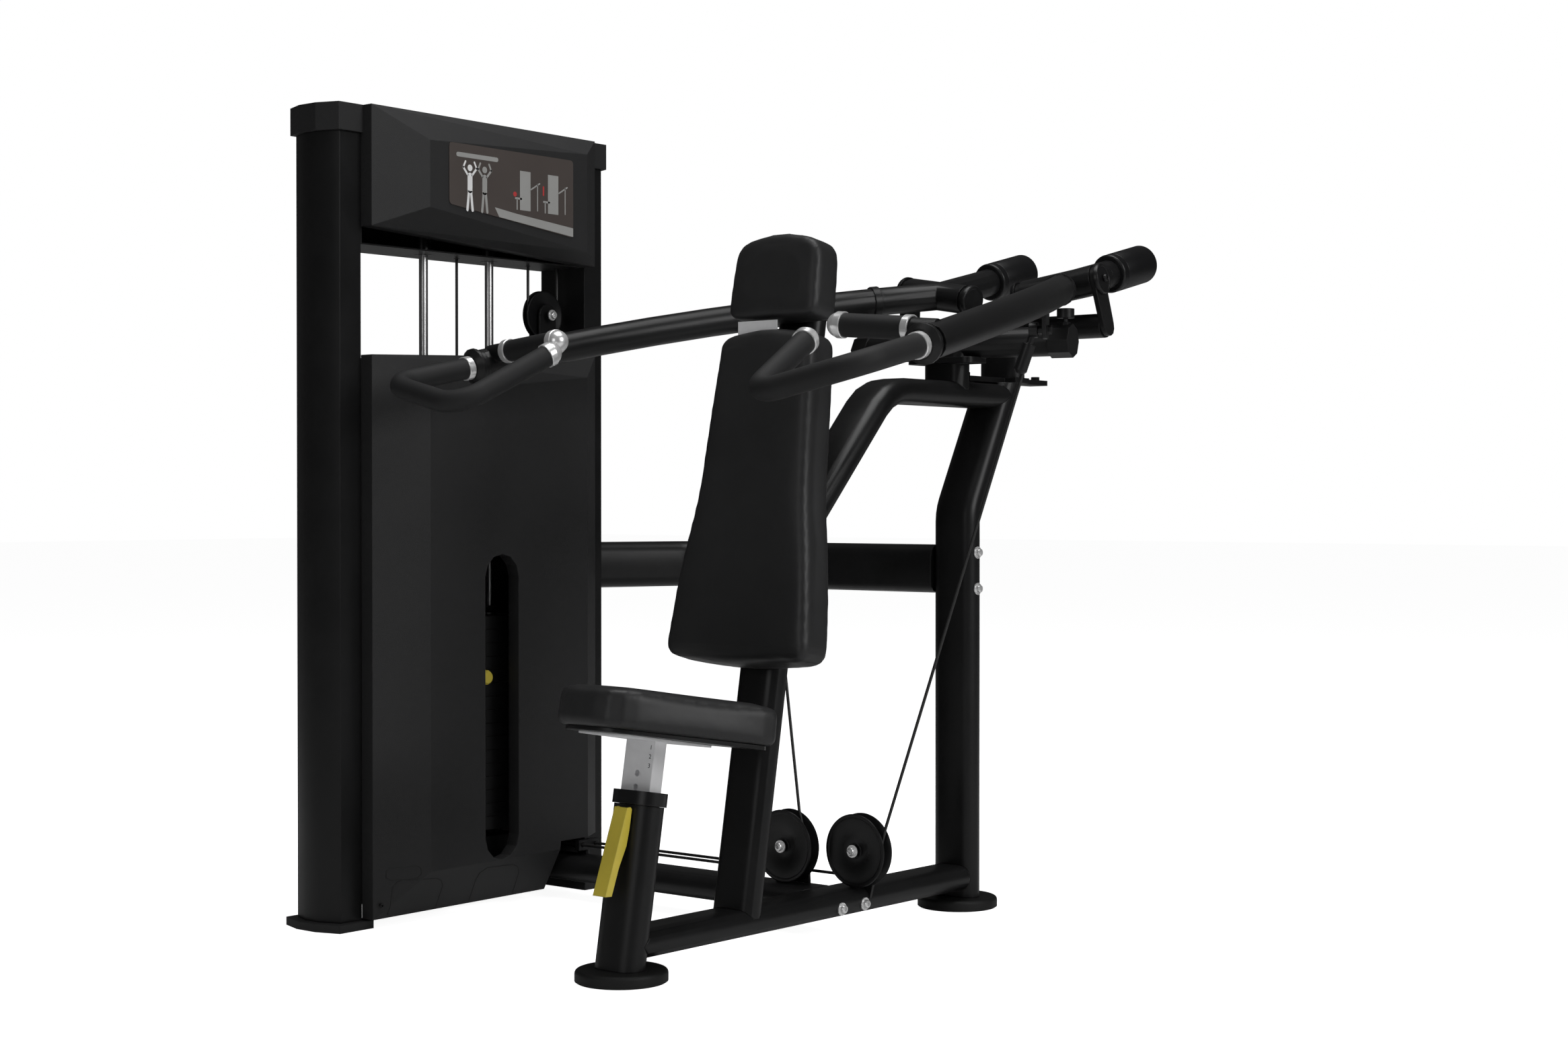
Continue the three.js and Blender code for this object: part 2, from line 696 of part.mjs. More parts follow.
const beamCutaway = slab(
  outline([
    [512, 0],
    [720, 0],
    [720, 124],
    [528, 124],
  ]),
  200,
  v(COVER_BACK_X - 50, 0, 0),
  Y,
  Z,
);
const aboveFace = block(COVER_FACE_X, COVER_FACE_X + 50, 300, 420, 50, 800);
addPlastic(
  "lower_cover",
  cut(join(cover(lowerBorder, lowerFace), slotWall), slotHole, beamCutaway, aboveFace),
);

const PANEL_THICKNESS = 2;
addPlastic(
  "lower_back_panel",
  block(TOWER_LEFT_X, TOWER_LEFT_X + PANEL_THICKNESS, COVER_FRONT_Y, COVER_REAR_Y, 20, 1120),
);

// ---------------------------------------------------------------- weight stack

const SHELF_TOP_Z = 140;
const rodHole = (y, z0, z1) => rod(v(TOWER_X, y, z0), v(TOWER_X, y, z1), GUIDE_ROD_RADIUS + 0.5);
const baseBeam = bar([v(TOWER_X, COVER_FRONT_Y, RAIL_Z), v(TOWER_X, COVER_REAR_Y, RAIL_Z)], X);
const shelf = block(-858, -756, STACK_Y - 130, STACK_Y + 130, RAIL_TOP_Z - 2, SHELF_TOP_Z);
const stops = rodY.map((y) =>
  rod(v(TOWER_X, y, SHELF_TOP_Z - 1), v(TOWER_X, y, STACK_BOTTOM_Z - GAP), 22),
);
addCoated(
  "tower_base_beam",
  cut(join(baseBeam, shelf, ...stops), ...rodY.map((y) => rodHole(y, 100, 170))),
);

function addGuideRod(name, y) {
  addSteel(name, rod(v(TOWER_X, y, 101), v(TOWER_X, y, GUIDE_ROD_TOP_Z + 3.5), GUIDE_ROD_RADIUS));
}
addGuideRod("guide_rod_front", rodY[0]);
addGuideRod("guide_rod_rear", rodY[1]);

// A run of plates: slabs with a shallow groove between them, drilled for the rods.
function plates(first, count) {
  const z0 = STACK_BOTTOM_Z + first * PLATE_PITCH;
  const top = z0 + count * PLATE_PITCH - GAP;
  const slabs = Array.from({ length: count }, (_, i) =>
    block(
      STACK_BACK_X,
      STACK_FRONT_X,
      STACK_Y - STACK_HALF_WIDTH,
      STACK_Y + STACK_HALF_WIDTH,
      z0 + i * PLATE_PITCH,
      z0 + (i + 1) * PLATE_PITCH - PLATE_GROOVE,
    ),
  );
  const core = block(
    STACK_BACK_X + PLATE_GROOVE,
    STACK_FRONT_X - PLATE_GROOVE,
    STACK_Y - STACK_HALF_WIDTH + PLATE_GROOVE,
    STACK_Y + STACK_HALF_WIDTH - PLATE_GROOVE,
    z0,
    top,
  );
  return cut(
    join(core, ...slabs),
    ...rodY.map((y) => rodHole(y, z0 - 10, top + 10)),
    rod(v(TOWER_X, STACK_Y, z0 - 10), v(TOWER_X, STACK_Y, top + 10), SELECTOR_ROD_RADIUS + 1),
  );
}

const PIN_Z = STACK_BOTTOM_Z + (REST_PLATES + 0.5) * PLATE_PITCH;
const STACK_TOP_Z = STACK_BOTTOM_Z + (REST_PLATES + LIFTED_PLATES + 1) * PLATE_PITCH;
const pinHole = (reach) => rod(v(TOWER_X - reach, STACK_Y, PIN_Z), v(-700, STACK_Y, PIN_Z), PIN_RADIUS + 0.5);
add("weight_stack_rest", plates(0, REST_PLATES), 0x202020, 0.4, 0.5);
add(
  "weight_stack_lifted",
  cut(plates(REST_PLATES, LIFTED_PLATES + 1), pinHole(30)),
  0x202020,
  0.4,
  0.5,
);

const SELECTOR_HEAD = 16;
const SELECTOR_TOP_Z = STACK_TOP_Z + 34;
addSteel(
  "selector_rod",
  cut(
    join(
      rod(v(TOWER_X, STACK_Y, STACK_BOTTOM_Z + 4), v(TOWER_X, STACK_Y, STACK_TOP_Z + 1), SELECTOR_ROD_RADIUS),
      rod(v(TOWER_X, STACK_Y, STACK_TOP_Z + GAP), v(TOWER_X, STACK_Y, SELECTOR_TOP_Z), SELECTOR_HEAD, 11),
    ),
    pinHole(30),
  ),
);
addYellow(
  "selector_pin",
  turned(
    [
      [0, 0],
      [PIN_RADIUS, 2],
      [PIN_RADIUS, 80],
      [15, 80],
      [18, 85],
      [18, 92],
      [13, 98],
      [15, 106],
      [12, 111],
      [0, 112],
    ],
    v(TOWER_X - 18, STACK_Y, PIN_Z),
    v(0, STACK_Y, PIN_Z),
    24,
  ),
);

// Cable from the selector rod up to the header's floor; it rises into the header with the stack
const STACK_CABLE_TOP_Z = 1334;
addRubber(
  "stack_cable",
  rod(v(TOWER_X, STACK_Y, SELECTOR_TOP_Z + GAP), v(TOWER_X, STACK_Y, STACK_CABLE_TOP_Z), CABLE_RADIUS),
);

// ---------------------------------------------------------------- floating pulley

// Profile of a grooved wheel about its middle, with a bore.
function wheelProfile(radius, groove, thickness, bore) {
  const half = thickness / 2;
  const web = half * 0.4;
  return [
    [bore, -half * 0.7],
    [groove * 0.84, -web],
    [groove * 0.95, -half],
    [radius, -half],
    [groove, -half * 0.2],
    [groove, half * 0.2],
    [radius, half],
    [groove * 0.95, half],
    [groove * 0.84, web],
    [bore, half * 0.7],
    [bore, -half * 0.7],
  ];
}

const AXLE_RADIUS = 6;
const blockCentre = v(TOWER_X, BLOCK_Y, BLOCK_Z);
addPlastic(
  "floating_pulley",
  turned(
    wheelProfile(BLOCK_RADIUS, BLOCK_GROOVE, BLOCK_THICKNESS, AXLE_RADIUS + GAP),
    blockCentre,
    blockCentre.clone().add(X),
  ),
);

const BLOCK_PLATE_X = 11;
const BLOCK_PLATE_THICKNESS = 5;
const BLOCK_DROP = 300;
const blockPlateShape = () => {
  const shape = new THREE.Shape();
  shape.absarc(0, 0, 24, 0, Math.PI);
  shape.lineTo(-24, -BLOCK_DROP);
  shape.lineTo(24, -BLOCK_DROP);
  shape.closePath();
  return shape;
};
const blockPlate = (x) => slab(blockPlateShape(), BLOCK_PLATE_THICKNESS, v(x, BLOCK_Y, BLOCK_Z), Y, Z);
const blockFoot = block(
  TOWER_X - BLOCK_PLATE_X - 1,
  TOWER_X + BLOCK_PLATE_X + 1,
  BLOCK_Y - 24,
  BLOCK_Y + 24,
  BLOCK_Z - BLOCK_DROP,
  BLOCK_Z - BLOCK_DROP + 40,
);
addCoated(
  "floating_pulley_bracket",
  join(
    blockPlate(TOWER_X + BLOCK_PLATE_X),
    blockPlate(TOWER_X - BLOCK_PLATE_X - BLOCK_PLATE_THICKNESS),
    blockFoot,
    rod(v(TOWER_X - 30, BLOCK_Y, BLOCK_Z), v(TOWER_X + 30, BLOCK_Y, BLOCK_Z), AXLE_RADIUS),
  ),
);

// Cable slung under the floating pulley, both ends up into the header, with enough above the
// header's floor for the block's travel
const SLING_TOP_Z = 1500;
const cableSection = disc(CABLE_RADIUS, 8);

// Stations on an arc about a centre, from one angle to another, in the plane of two directions.
function arcStations(centre, radius, from, to, first, second, count = 10) {
  return Array.from({ length: count + 1 }, (_, i) => {
    const turn = from + ((to - from) * i) / count;
    const sense = Math.sign(to - from);
    return {
      at: centre
        .clone()
        .addScaledVector(first, radius * Math.cos(turn))
        .addScaledVector(second, radius * Math.sin(turn)),
      heading: first
        .clone()
        .multiplyScalar(-sense * Math.sin(turn))
        .addScaledVector(second, sense * Math.cos(turn)),
    };
  });
}

const sling = arcStations(blockCentre, SLING_RADIUS, Math.PI, 2 * Math.PI, Y, Z);
addRubber(
  "sling_cable",
  sweep(
    cableSection,
    [
      { at: sling[0].at.clone().setZ(SLING_TOP_Z), heading: v(0, 0, -1) },
      ...sling,
      { at: sling.at(-1).at.clone().setZ(SLING_TOP_Z), heading: v(0, 0, 1) },
    ],
    X,
  ),
);

// ---------------------------------------------------------------- floor pulleys and arm cables

const FLOOR_PLATE_THICKNESS = 6;
const FLOOR_PLATE_RADIUS = 38;
const PULLEY_CLEARANCE = 2.5;
const FIXING_HEAD = 7;

// Wheel on a bolt through one upright plate, whose foot spans x0 to x1 and reaches down to footZ.
function addFloorPulley(letter, { x, y }, [x0, x1, footZ]) {
  const half = FLOOR_PULLEY_THICKNESS / 2;
  const centre = v(x, y, FLOOR_PULLEY_Z);
  addPlastic(
    "floor_pulley_" + letter,
    turned(
      wheelProfile(FLOOR_PULLEY_RADIUS, FLOOR_PULLEY_GROOVE, FLOOR_PULLEY_THICKNESS, AXLE_RADIUS + GAP),
      centre,
      centre.clone().add(Y),
    ),
  );
  const drop = FLOOR_PULLEY_Z - footZ;
  const plate = new THREE.Shape();
  plate.absarc(0, 0, FLOOR_PLATE_RADIUS, 0, Math.PI);
  plate.lineTo(x0 - x, -drop);
  plate.lineTo(x1 - x, -drop);
  plate.closePath();
  const plateY = y + half + PULLEY_CLEARANCE;
  const plateOrigin = v(x, plateY + FLOOR_PLATE_THICKNESS, FLOOR_PULLEY_Z);
  addCoated(
    "pulley_bracket_" + letter,
    cut(
      join(
        slab(plate, FLOOR_PLATE_THICKNESS, plateOrigin, X, Z),
        rod(centre.clone().setY(y - half - 2), centre.clone().setY(plateY + 1), AXLE_RADIUS),
        rod(centre.clone().setY(y - half - FIXING_HEAD), centre.clone().setY(y - half - 1), 11, 11, 6),
      ),
      grownRail,
    ),
  );
}

const RAIL_CLEAR_Z = RAIL_TOP_Z + GAP;
addFloorPulley("a", PULLEY_A, [PULLEY_A.x - 42, PULLEY_A.x + 42, RAIL_CLEAR_Z]);
addFloorPulley("b", PULLEY_B, [4, 50, 67]);

const armCableDrop = FLOOR_PULLEY_GROOVE + CABLE_RADIUS + GAP;
const ARM_CABLE_Z = FLOOR_PULLEY_Z - armCableDrop;
const GUIDE_X0 = -680;
const GUIDE_X1 = -668;
const GUIDE_Z0 = 98;
const GUIDE_Z1 = 120;
const guideMiddle = v((GUIDE_X0 + GUIDE_X1) / 2, (PULLEY_A.y + PULLEY_B.y) / 2, GUIDE_Z0 + 1);
const guideBody = block(GUIDE_X0, GUIDE_X1, PULLEY_A.y - 10, PULLEY_B.y + 10, GUIDE_Z0, GUIDE_Z1);
const guideBores = [PULLEY_A, PULLEY_B].map(({ y }) =>
  rod(v(GUIDE_X0 - 5, y, ARM_CABLE_Z), v(GUIDE_X1 + 5, y, ARM_CABLE_Z), CABLE_RADIUS + 1.5),
);
const guideStem = rod(guideMiddle.clone().setZ(RAIL_CLEAR_Z), guideMiddle, 5);
addPlastic("cable_guide", join(cut(guideBody, ...guideBores), guideStem));

// ---------------------------------------------------------------- press arms

const armEnds = (side) => {
  const outer = point(PIVOT_OUTER, side);
  const inner = point(PIVOT_INNER, side);
  const axis = outer.clone().sub(inner).normalize();
  return { outer, inner, axis };
};

const armCurve = (side) =>
  new THREE.QuadraticBezierCurve3(point(ARM_TIP, side), point(ARM_CONTROL, side), point(ARM_ROOT, side));

// Direction square to the plane in which an arm curves.
function armSide(side) {
  const curve = armCurve(side);
  return curve.v1.clone().sub(curve.v0).cross(curve.v2.clone().sub(curve.v1)).normalize();
}

const LUG_SHARE = 0.588; // place of the cable lug along the arm
const LUG_THICKNESS = 8;
const LUG_DROP = 60;
const EYE_OFFSET = 22; // the eye hangs inward of its lug
const EYE_WIDTH = 16;
const SOCKET_START = 26;
const SOCKET_LENGTH = 60;
const LUG_HALF_WIDTH = 18;

function lugFrame(side) {
  const curve = armCurve(side);
  const centre = curve.getPoint(LUG_SHARE);
  const heading = curve.getTangent(LUG_SHARE).setZ(0).normalize();
  const inward = heading.clone().cross(Z).multiplyScalar(-side);
  if (inward.x * side > 0) inward.negate();
  const bolt = centre.clone().addScaledVector(Z, -LUG_DROP);
  return { bolt, inward, heading };
}

function stationsOf(curve, count) {
  return Array.from({ length: count + 1 }, (_, i) => ({
    at: curve.getPoint(i / count),
    heading: curve.getTangent(i / count),
  }));
}

const PLATE_FROM_END = PIVOT_CAP_THICKNESS + GAP;
const HOUSING_FROM_END = PLATE_FROM_END + LINK_THICKNESS + GAP;
const AXLE_SHAFT = 12;
const AXLE_BORE = 13.5; // wide enough for the corners of a faceted shaft to turn in

function addArm(name, side) {
  const { outer, inner, axis } = armEnds(side);
  const curve = armCurve(side);
  const tube = sweep(disc(ARM_RADIUS, ARM_FACETS), stationsOf(curve, ARM_STEPS), armSide(side));
  const housing = rod(
    inner.clone().addScaledVector(axis, HOUSING_FROM_END),
    outer.clone().addScaledVector(axis, -HOUSING_FROM_END),
    PIVOT_RADIUS,
    PIVOT_RADIUS,
    ROUND,
  );
  const bore = rod(inner, outer, AXLE_BORE);
  const weightFront = point(COUNTERWEIGHT_FRONT, side);
  const weightAxis = point(COUNTERWEIGHT_REAR, side).sub(weightFront).normalize();
  const tailBend = weightFront.clone().addScaledVector(weightAxis, -30);
  const tailEnd = weightFront.clone().addScaledVector(weightAxis, -GAP);
  const tail = join(
    rod(point(ARM_ROOT, side), tailBend, ARM_RADIUS, ARM_RADIUS, ARM_FACETS),
    rod(tailBend, tailEnd, ARM_RADIUS, ARM_RADIUS, ARM_FACETS),
  );
  const gripStart = point(GRIP_START, side);
  const forward = point(GRIP_OUTER, side).sub(gripStart).normalize();
  const cone = turned(
    [
      [0, 0],
      [ARM_RADIUS, 0],
      [ARM_RADIUS, 11],
      [CONE_RADIUS, 13],
      [CONE_RADIUS, 19],
      [CONE_TIP_RADIUS, CONE_LENGTH],
      [0, CONE_LENGTH],
    ],
    gripStart.clone().addScaledVector(forward, -CONE_LENGTH - 0.5),
    gripStart,
  );
  const shortRoot = point(SHORT_GRIP_ROOT, side);
  const stubHeading = point(SHORT_GRIP_END, side).sub(shortRoot).normalize();
  const stub = rod(shortRoot.clone().addScaledVector(stubHeading, -48), shortRoot, GRIP_RADIUS - 2);
  const collarAt = curve.getPoint(0.86);
  const collarHeading = curve.getTangent(0.86);
  const collar = rod(
    collarAt.clone().addScaledVector(collarHeading, -8),
    collarAt.clone().addScaledVector(collarHeading, 8),
    ARM_RADIUS + 3,
    ARM_RADIUS + 3,
    ROUND,
  );
  const { bolt, inward, heading } = lugFrame(side);
  const lugShape = new THREE.Shape();
  lugShape.absarc(0, 0, LUG_HALF_WIDTH, Math.PI, 2 * Math.PI);
  lugShape.lineTo(LUG_HALF_WIDTH + 6, LUG_DROP - 8);
  lugShape.lineTo(-LUG_HALF_WIDTH - 6, LUG_DROP - 8);
  lugShape.closePath();
  const lugNormal = heading.clone().cross(Z);
  const lug = join(
    slab(lugShape, LUG_THICKNESS, bolt.clone().addScaledVector(lugNormal, -LUG_THICKNESS / 2), heading, Z),
    rod(bolt, bolt.clone().addScaledVector(inward, -12), 9, 9, 6),
  );
  addCoated(name + "_arm", cut(join(tube, housing, tail, cone, stub, collar, lug), bore));

  addPlastic(
    name + "_counterweight",
    turned(
      [
        [0, 0],
        [COUNTERWEIGHT_RADIUS - 6, 0],
        [COUNTERWEIGHT_RADIUS, 8],
        [COUNTERWEIGHT_RADIUS, COUNTERWEIGHT_LENGTH - 8],
        [COUNTERWEIGHT_RADIUS - 6, COUNTERWEIGHT_LENGTH],
        [0, COUNTERWEIGHT_LENGTH],
      ],
      weightFront,
      point(COUNTERWEIGHT_REAR, side),
    ),
  );

  // Turning eye and cable socket hung on the lug
  const onBolt = (distance) => bolt.clone().addScaledVector(inward, distance);
  const eye = onBolt(EYE_OFFSET);
  const target = side > 0 ? PULLEY_B : PULLEY_A;
  const pull = v(target.x, target.y, FLOOR_PULLEY_Z).sub(eye).normalize();
  const along = (distance) => eye.clone().addScaledVector(pull, distance);
  addCoated(
    name + "_rod_end",
    join(
      rod(onBolt(LUG_THICKNESS / 2 + GAP), eye, 8),
      rod(onBolt(EYE_OFFSET - EYE_WIDTH / 2), onBolt(EYE_OFFSET + EYE_WIDTH / 2), 15),
      rod(eye, along(SOCKET_START + 4), 7),
      turned(
        [
          [0, 0],
          [13, 2],
          [13, SOCKET_LENGTH - 6],
          [8, SOCKET_LENGTH],
          [0, SOCKET_LENGTH],
        ],
        along(SOCKET_START),
        along(SOCKET_START + SOCKET_LENGTH),
        SMALL_ROUND,
      ),
    ),
  );
  return along(SOCKET_START + SOCKET_LENGTH + GAP);
}

const leftCableTop = addArm("left", 1);
const rightCableTop = addArm("right", -1);

const FREE_RUN = 58; // length of cable that stays in the plane of its pulley

// Arm cable: out of the guide, under its floor pulley and up to the rod end.
function addArmCable(name, { x, y }, top) {
  const centre = v(x, y, FLOOR_PULLEY_Z);
  const lift = top.clone().sub(centre);
  const rise = Math.hypot(lift.x, lift.z);
  const leave = Math.atan2(lift.z, lift.x) - Math.acos(armCableDrop / rise);
  const arc = arcStations(centre, armCableDrop, -Math.PI / 2, leave, X, Z);
  const free = arc.at(-1).at.clone().addScaledVector(arc.at(-1).heading, FREE_RUN);
  const climb = top.clone().sub(free).normalize();
  addRubber(
    name,
    sweep(
      cableSection,
      [
        { at: v(GUIDE_X0 - 60, y, ARM_CABLE_Z), heading: X },
        ...arc,
        { at: free, heading: climb },
        { at: top, heading: climb },
      ],
      Y,
    ),
  );
}
addArmCable("left_arm_cable", PULLEY_B, leftCableTop);
addArmCable("right_arm_cable", PULLEY_A, rightCableTop);

// Axle with a chamfered cap on each end
function addAxle(name, side) {
  const { outer, inner, axis } = armEnds(side);
  const cap = (end, heading) =>
    turned(
      [
        [0, 0],
        [PIVOT_RADIUS - 3, 0],
        [PIVOT_RADIUS + 1, 4],
        [PIVOT_RADIUS + 1, PIVOT_CAP_THICKNESS],
        [0, PIVOT_CAP_THICKNESS],
      ],
      end,
      end.clone().add(heading),
      24,
    );
  const shaftStart = inner.clone().addScaledVector(axis, 5);
  const shaft = rod(shaftStart, outer.clone().addScaledVector(axis, -5), AXLE_SHAFT);
  addPlastic(
    name,
    join(cap(outer, axis.clone().negate()), shaft, cap(inner, axis)),
  );
}
addAxle("left_pivot_axle", 1);
addAxle("right_pivot_axle", -1);

// ---------------------------------------------------------------- grips

const ballProfile = (radius) =>
  Array.from({ length: 4 }, (_, i) => {
    const turn = (i * Math.PI) / 6;
    return [radius * Math.cos(turn), radius * Math.sin(turn)];
  });

function ring(at, heading, length = 14) {
  return rod(
    at.clone().addScaledVector(heading, -length / 2),
    at.clone().addScaledVector(heading, length / 2),
    RING_RADIUS,
    RING_RADIUS,
    16,
  );
}

function addMainGrip(name, side) {
  const corners = [GRIP_START, GRIP_OUTER, GRIP_INNER, GRIP_END].map((corner) => point(corner, side));
  const stations = bends(corners, GRIP_BEND);
  const normal = corners[1].clone().sub(corners[0]).cross(corners[2].clone().sub(corners[1])).normalize();
  const last = stations.at(-1);
  const dome = turned(
    [[0, 0], ...ballProfile(BALL_RADIUS)],
    last.at,
    last.at.clone().add(last.heading),
    16,
  );
  addRubber(
    name,
    join(
      sweep(disc(GRIP_RADIUS, 16), stations, normal),
      ring(corners[0].clone().addScaledVector(stations[0].heading, 7), stations[0].heading),
      ring(last.at, last.heading),
      dome,
    ),
  );
}

function addShortGrip(name, side) {
  const root = point(SHORT_GRIP_ROOT, side);
  const end = point(SHORT_GRIP_END, side);
  const heading = end.clone().sub(root).normalize();
  const start = root.clone().addScaledVector(heading, GAP);
  const ball = turned(
    [[0, 0], ...ballProfile(BALL_RADIUS)],
    end,
    end.clone().add(heading),
    16,
  );
  addRubber(
    name,
    join(
      rod(start, end, GRIP_RADIUS, GRIP_RADIUS, 16),
      ring(start.clone().addScaledVector(heading, 7), heading),
      ring(end, heading),
      ball,
    ),
  );
}

for (const [name, side] of [
  ["left", 1],
  ["right", -1],
]) {
  addMainGrip(name + "_main_grip", side);
  addShortGrip(name + "_short_grip", side);
}

// ---------------------------------------------------------------- arm supports

const STOP_TOP_Z = 1215;
const STOP_FLANGE_Z = 1111;
const STOP_FLANGE_THICKNESS = 12;
const STOP_CAP_RADIUS = 34;
const STOP_CAP_LENGTH = 45;
const PUCK_RADIUS = 17.5;
const PUCK_HEIGHT = 19;

function stopArm(side) {
  const middle = v(0, STOP_BAR_Y, STOP_BAR_Z);
  const end = v(side * STOP_BAR_END[0], STOP_BAR_END[1], STOP_BAR_Z);
  const heading = end.clone().sub(middle).normalize();
  const seat = end.clone().addScaledVector(heading, -16);
  return join(
    rod(middle, seat, STOP_BAR_RADIUS, STOP_BAR_RADIUS, ROUND),
    rod(end.clone().addScaledVector(heading, -STOP_CAP_LENGTH), end, STOP_CAP_RADIUS, STOP_CAP_RADIUS, 8),
    rod(seat, seat.clone().setZ(STOP_TOP_Z - PUCK_HEIGHT + 1), 5, 5, 8),
    rod(seat.clone().setZ(STOP_BAR_Z + 10), seat.clone().setZ(STOP_TOP_Z - PUCK_HEIGHT - 8), 10, 10, 6),
    rod(seat.clone().setZ(STOP_TOP_Z - PUCK_HEIGHT), seat.clone().setZ(STOP_TOP_Z), PUCK_RADIUS),
  );
}

const stopFlange = rounded(
  [
    [-80, -36],
    [80, -36],
    [80, 36],
    [-80, 36],
  ],
  20,
);
addCoated(
  "stop_crossbar",
  join(
    cut(
      bar([v(0, STOP_BAR_Y, TOP_TUBE_Z + 8), v(0, STOP_BAR_Y, STOP_BAR_Z)], X),
      grown([v(0, STOP_BAR_Y - 100, TOP_TUBE_Z), v(0, STOP_BAR_Y + 100, TOP_TUBE_Z)], 0),
    ),
    slab(stopFlange, STOP_FLANGE_THICKNESS, v(0, STOP_BAR_Y, STOP_FLANGE_Z), X, Y),
    rod(v(0, STOP_BAR_Y - 1, STOP_BAR_Z), v(0, STOP_BAR_Y + 1, STOP_BAR_Z), STOP_BAR_RADIUS),
    stopArm(1),
    stopArm(-1),
  ),
);

// Upright plate that hangs from the pivot axis to the pivot crossbar
function linkPlate(side, fromOuter) {
  const { outer, inner, axis } = armEnds(side);
  const near = PLATE_FROM_END;
  const start = fromOuter
    ? outer.clone().addScaledVector(axis, -near - LINK_THICKNESS)
    : inner.clone().addScaledVector(axis, near);
  const middle = start.clone().addScaledVector(axis, LINK_THICKNESS / 2);
  const down = v(0, PIVOT_BAR_Y - middle.y, PIVOT_BAR_Z + 1 - middle.z);
  down.addScaledVector(axis, -down.dot(axis));
  const length = down.length();
  const up = down.clone().normalize().negate();
  const across = up.clone().cross(axis);
  const shape = new THREE.Shape();
  shape.absarc(0, 0, LINK_RADIUS, 0, Math.PI);
  shape.absarc(0, -length, LINK_RADIUS - 3, Math.PI, 2 * Math.PI);
  shape.closePath();
  const plate = slab(shape, LINK_THICKNESS, start, across, up);
  return { plate, foot: middle.clone().add(down) };
}

const outerLink = linkPlate(1, true);
const outerLinkMirror = linkPlate(-1, true);
const pivotBarReach = outerLink.foot.x - 2;
const PIVOT_POST_Z = HEAD_PLATE_Z + HEAD_PLATE_THICKNESS + GAP;
const pivotBores = [1, -1].map((side) => {
  const { outer, inner } = armEnds(side);
  return rod(inner, outer, AXLE_BORE);
});
addCoated(
  "pivot_crossbar",
  cut(
    join(
      rod(
        v(-pivotBarReach, PIVOT_BAR_Y, PIVOT_BAR_Z),
        v(pivotBarReach, PIVOT_BAR_Y, PIVOT_BAR_Z),
        PIVOT_BAR_RADIUS,
        PIVOT_BAR_RADIUS,
        ROUND,
      ),
      bar([v(0, PIVOT_POST_Y, PIVOT_POST_Z), v(0, PIVOT_POST_Y, PIVOT_BAR_Z)], X),
      outerLink.plate,
      outerLinkMirror.plate,
      linkPlate(1, false).plate,
      linkPlate(-1, false).plate,
    ),
    ...pivotBores,
  ),
);

// ---------------------------------------------------------------- seat

const seatBack = v(0, Math.cos(SEAT_TILT), -Math.sin(SEAT_TILT));
const seatUp = v(0, Math.sin(SEAT_TILT), Math.cos(SEAT_TILT));
const seatOrigin = v(0, SEAT_FRONT_Y, SEAT_FRONT_Z);
const seatOutline = (margin) =>
  rounded(
    [
      [-SEAT_FRONT_HALF + margin, margin],
      [SEAT_FRONT_HALF - margin, margin],
      [SEAT_REAR_HALF - margin, SEAT_LENGTH - margin],
      [-SEAT_REAR_HALF + margin, SEAT_LENGTH - margin],
    ],
    SEAT_CORNER - margin / 2,
  );
addRubber("seat_pad", cushion(seatOutline(0), SEAT_THICKNESS, seatOrigin, X, seatBack));
const boardOrigin = seatOrigin.clone().addScaledVector(seatUp, -BOARD_THICKNESS - GAP);
addCoated("seat_board", slab(seatOutline(14), BOARD_THICKNESS, boardOrigin, X, seatBack));

const STEM_PLATE = 4;
const stemBack = postAxis.clone().cross(X);
const stemBottom = postPoint(STEM_BOTTOM_Z);
const stemLength = boardOrigin.clone().sub(stemBottom).dot(seatUp) / postAxis.dot(seatUp) - GAP;
const stemSection = outline([
  [-STEM_WIDTH / 2, -STEM_DEPTH / 2],
  [STEM_WIDTH / 2, -STEM_DEPTH / 2],
  [STEM_WIDTH / 2, STEM_DEPTH / 2],
  [-STEM_WIDTH / 2, STEM_DEPTH / 2],
]);
const stemHoles = Array.from({ length: STEM_HOLES }, (_, i) => {
  const at = postPoint(PIN_Z_ON_POST).addScaledVector(postAxis, (i - 4) * STEM_HOLE_PITCH);
  const face = at.clone().addScaledVector(postFront, STEM_DEPTH / 2);
  return rod(
    face.clone().addScaledVector(postFront, -STEM_HOLE_DEPTH),
    face.clone().addScaledVector(postFront, 5),
    STEM_HOLE_RADIUS,
    STEM_HOLE_RADIUS,
    12,
  );
});
const stemPlate = slab(
  rounded(
    [
      [-55, 50],
      [55, 50],
      [70, 270],
      [-70, 270],
    ],
    10,
  ),
  STEM_PLATE,
  boardOrigin.clone().addScaledVector(seatUp, -STEM_PLATE - GAP),
  X,
  seatBack,
);
add(
  "seat_stem",
  join(
    cut(slab(stemSection, stemLength - STEM_PLATE / 2, stemBottom, X, stemBack), ...stemHoles),
    stemPlate,
  ),
  0xc8c8c8,
  0.2,
  0.4,
);

// Lever: a bent channel with tapering flanges, in the (y, z) plane
const LEVER_HALF_WIDTH = 15;
const LEVER_WALL = 3;
const leverProfile = [
  [-1, 302],
  [-56, 154],
  [-40, 153],
  [-22, 200],
  [-3, 236],
  [4, 262],
  [11, 298],
  [8, 302],
];
const leverHollow = [
  [4, 310],
  [-52, 140],
  [40, 140],
  [40, 310],
];
const leverSlab = (corners, half) => slab(outline(corners), 2 * half, v(-half, 0, 0), Y, Z);
add(
  "seat_lever",
  cut(leverSlab(leverProfile, LEVER_HALF_WIDTH), leverSlab(leverHollow, LEVER_HALF_WIDTH - LEVER_WALL)),
  0xb5a33c,
  0,
  0.45,
);

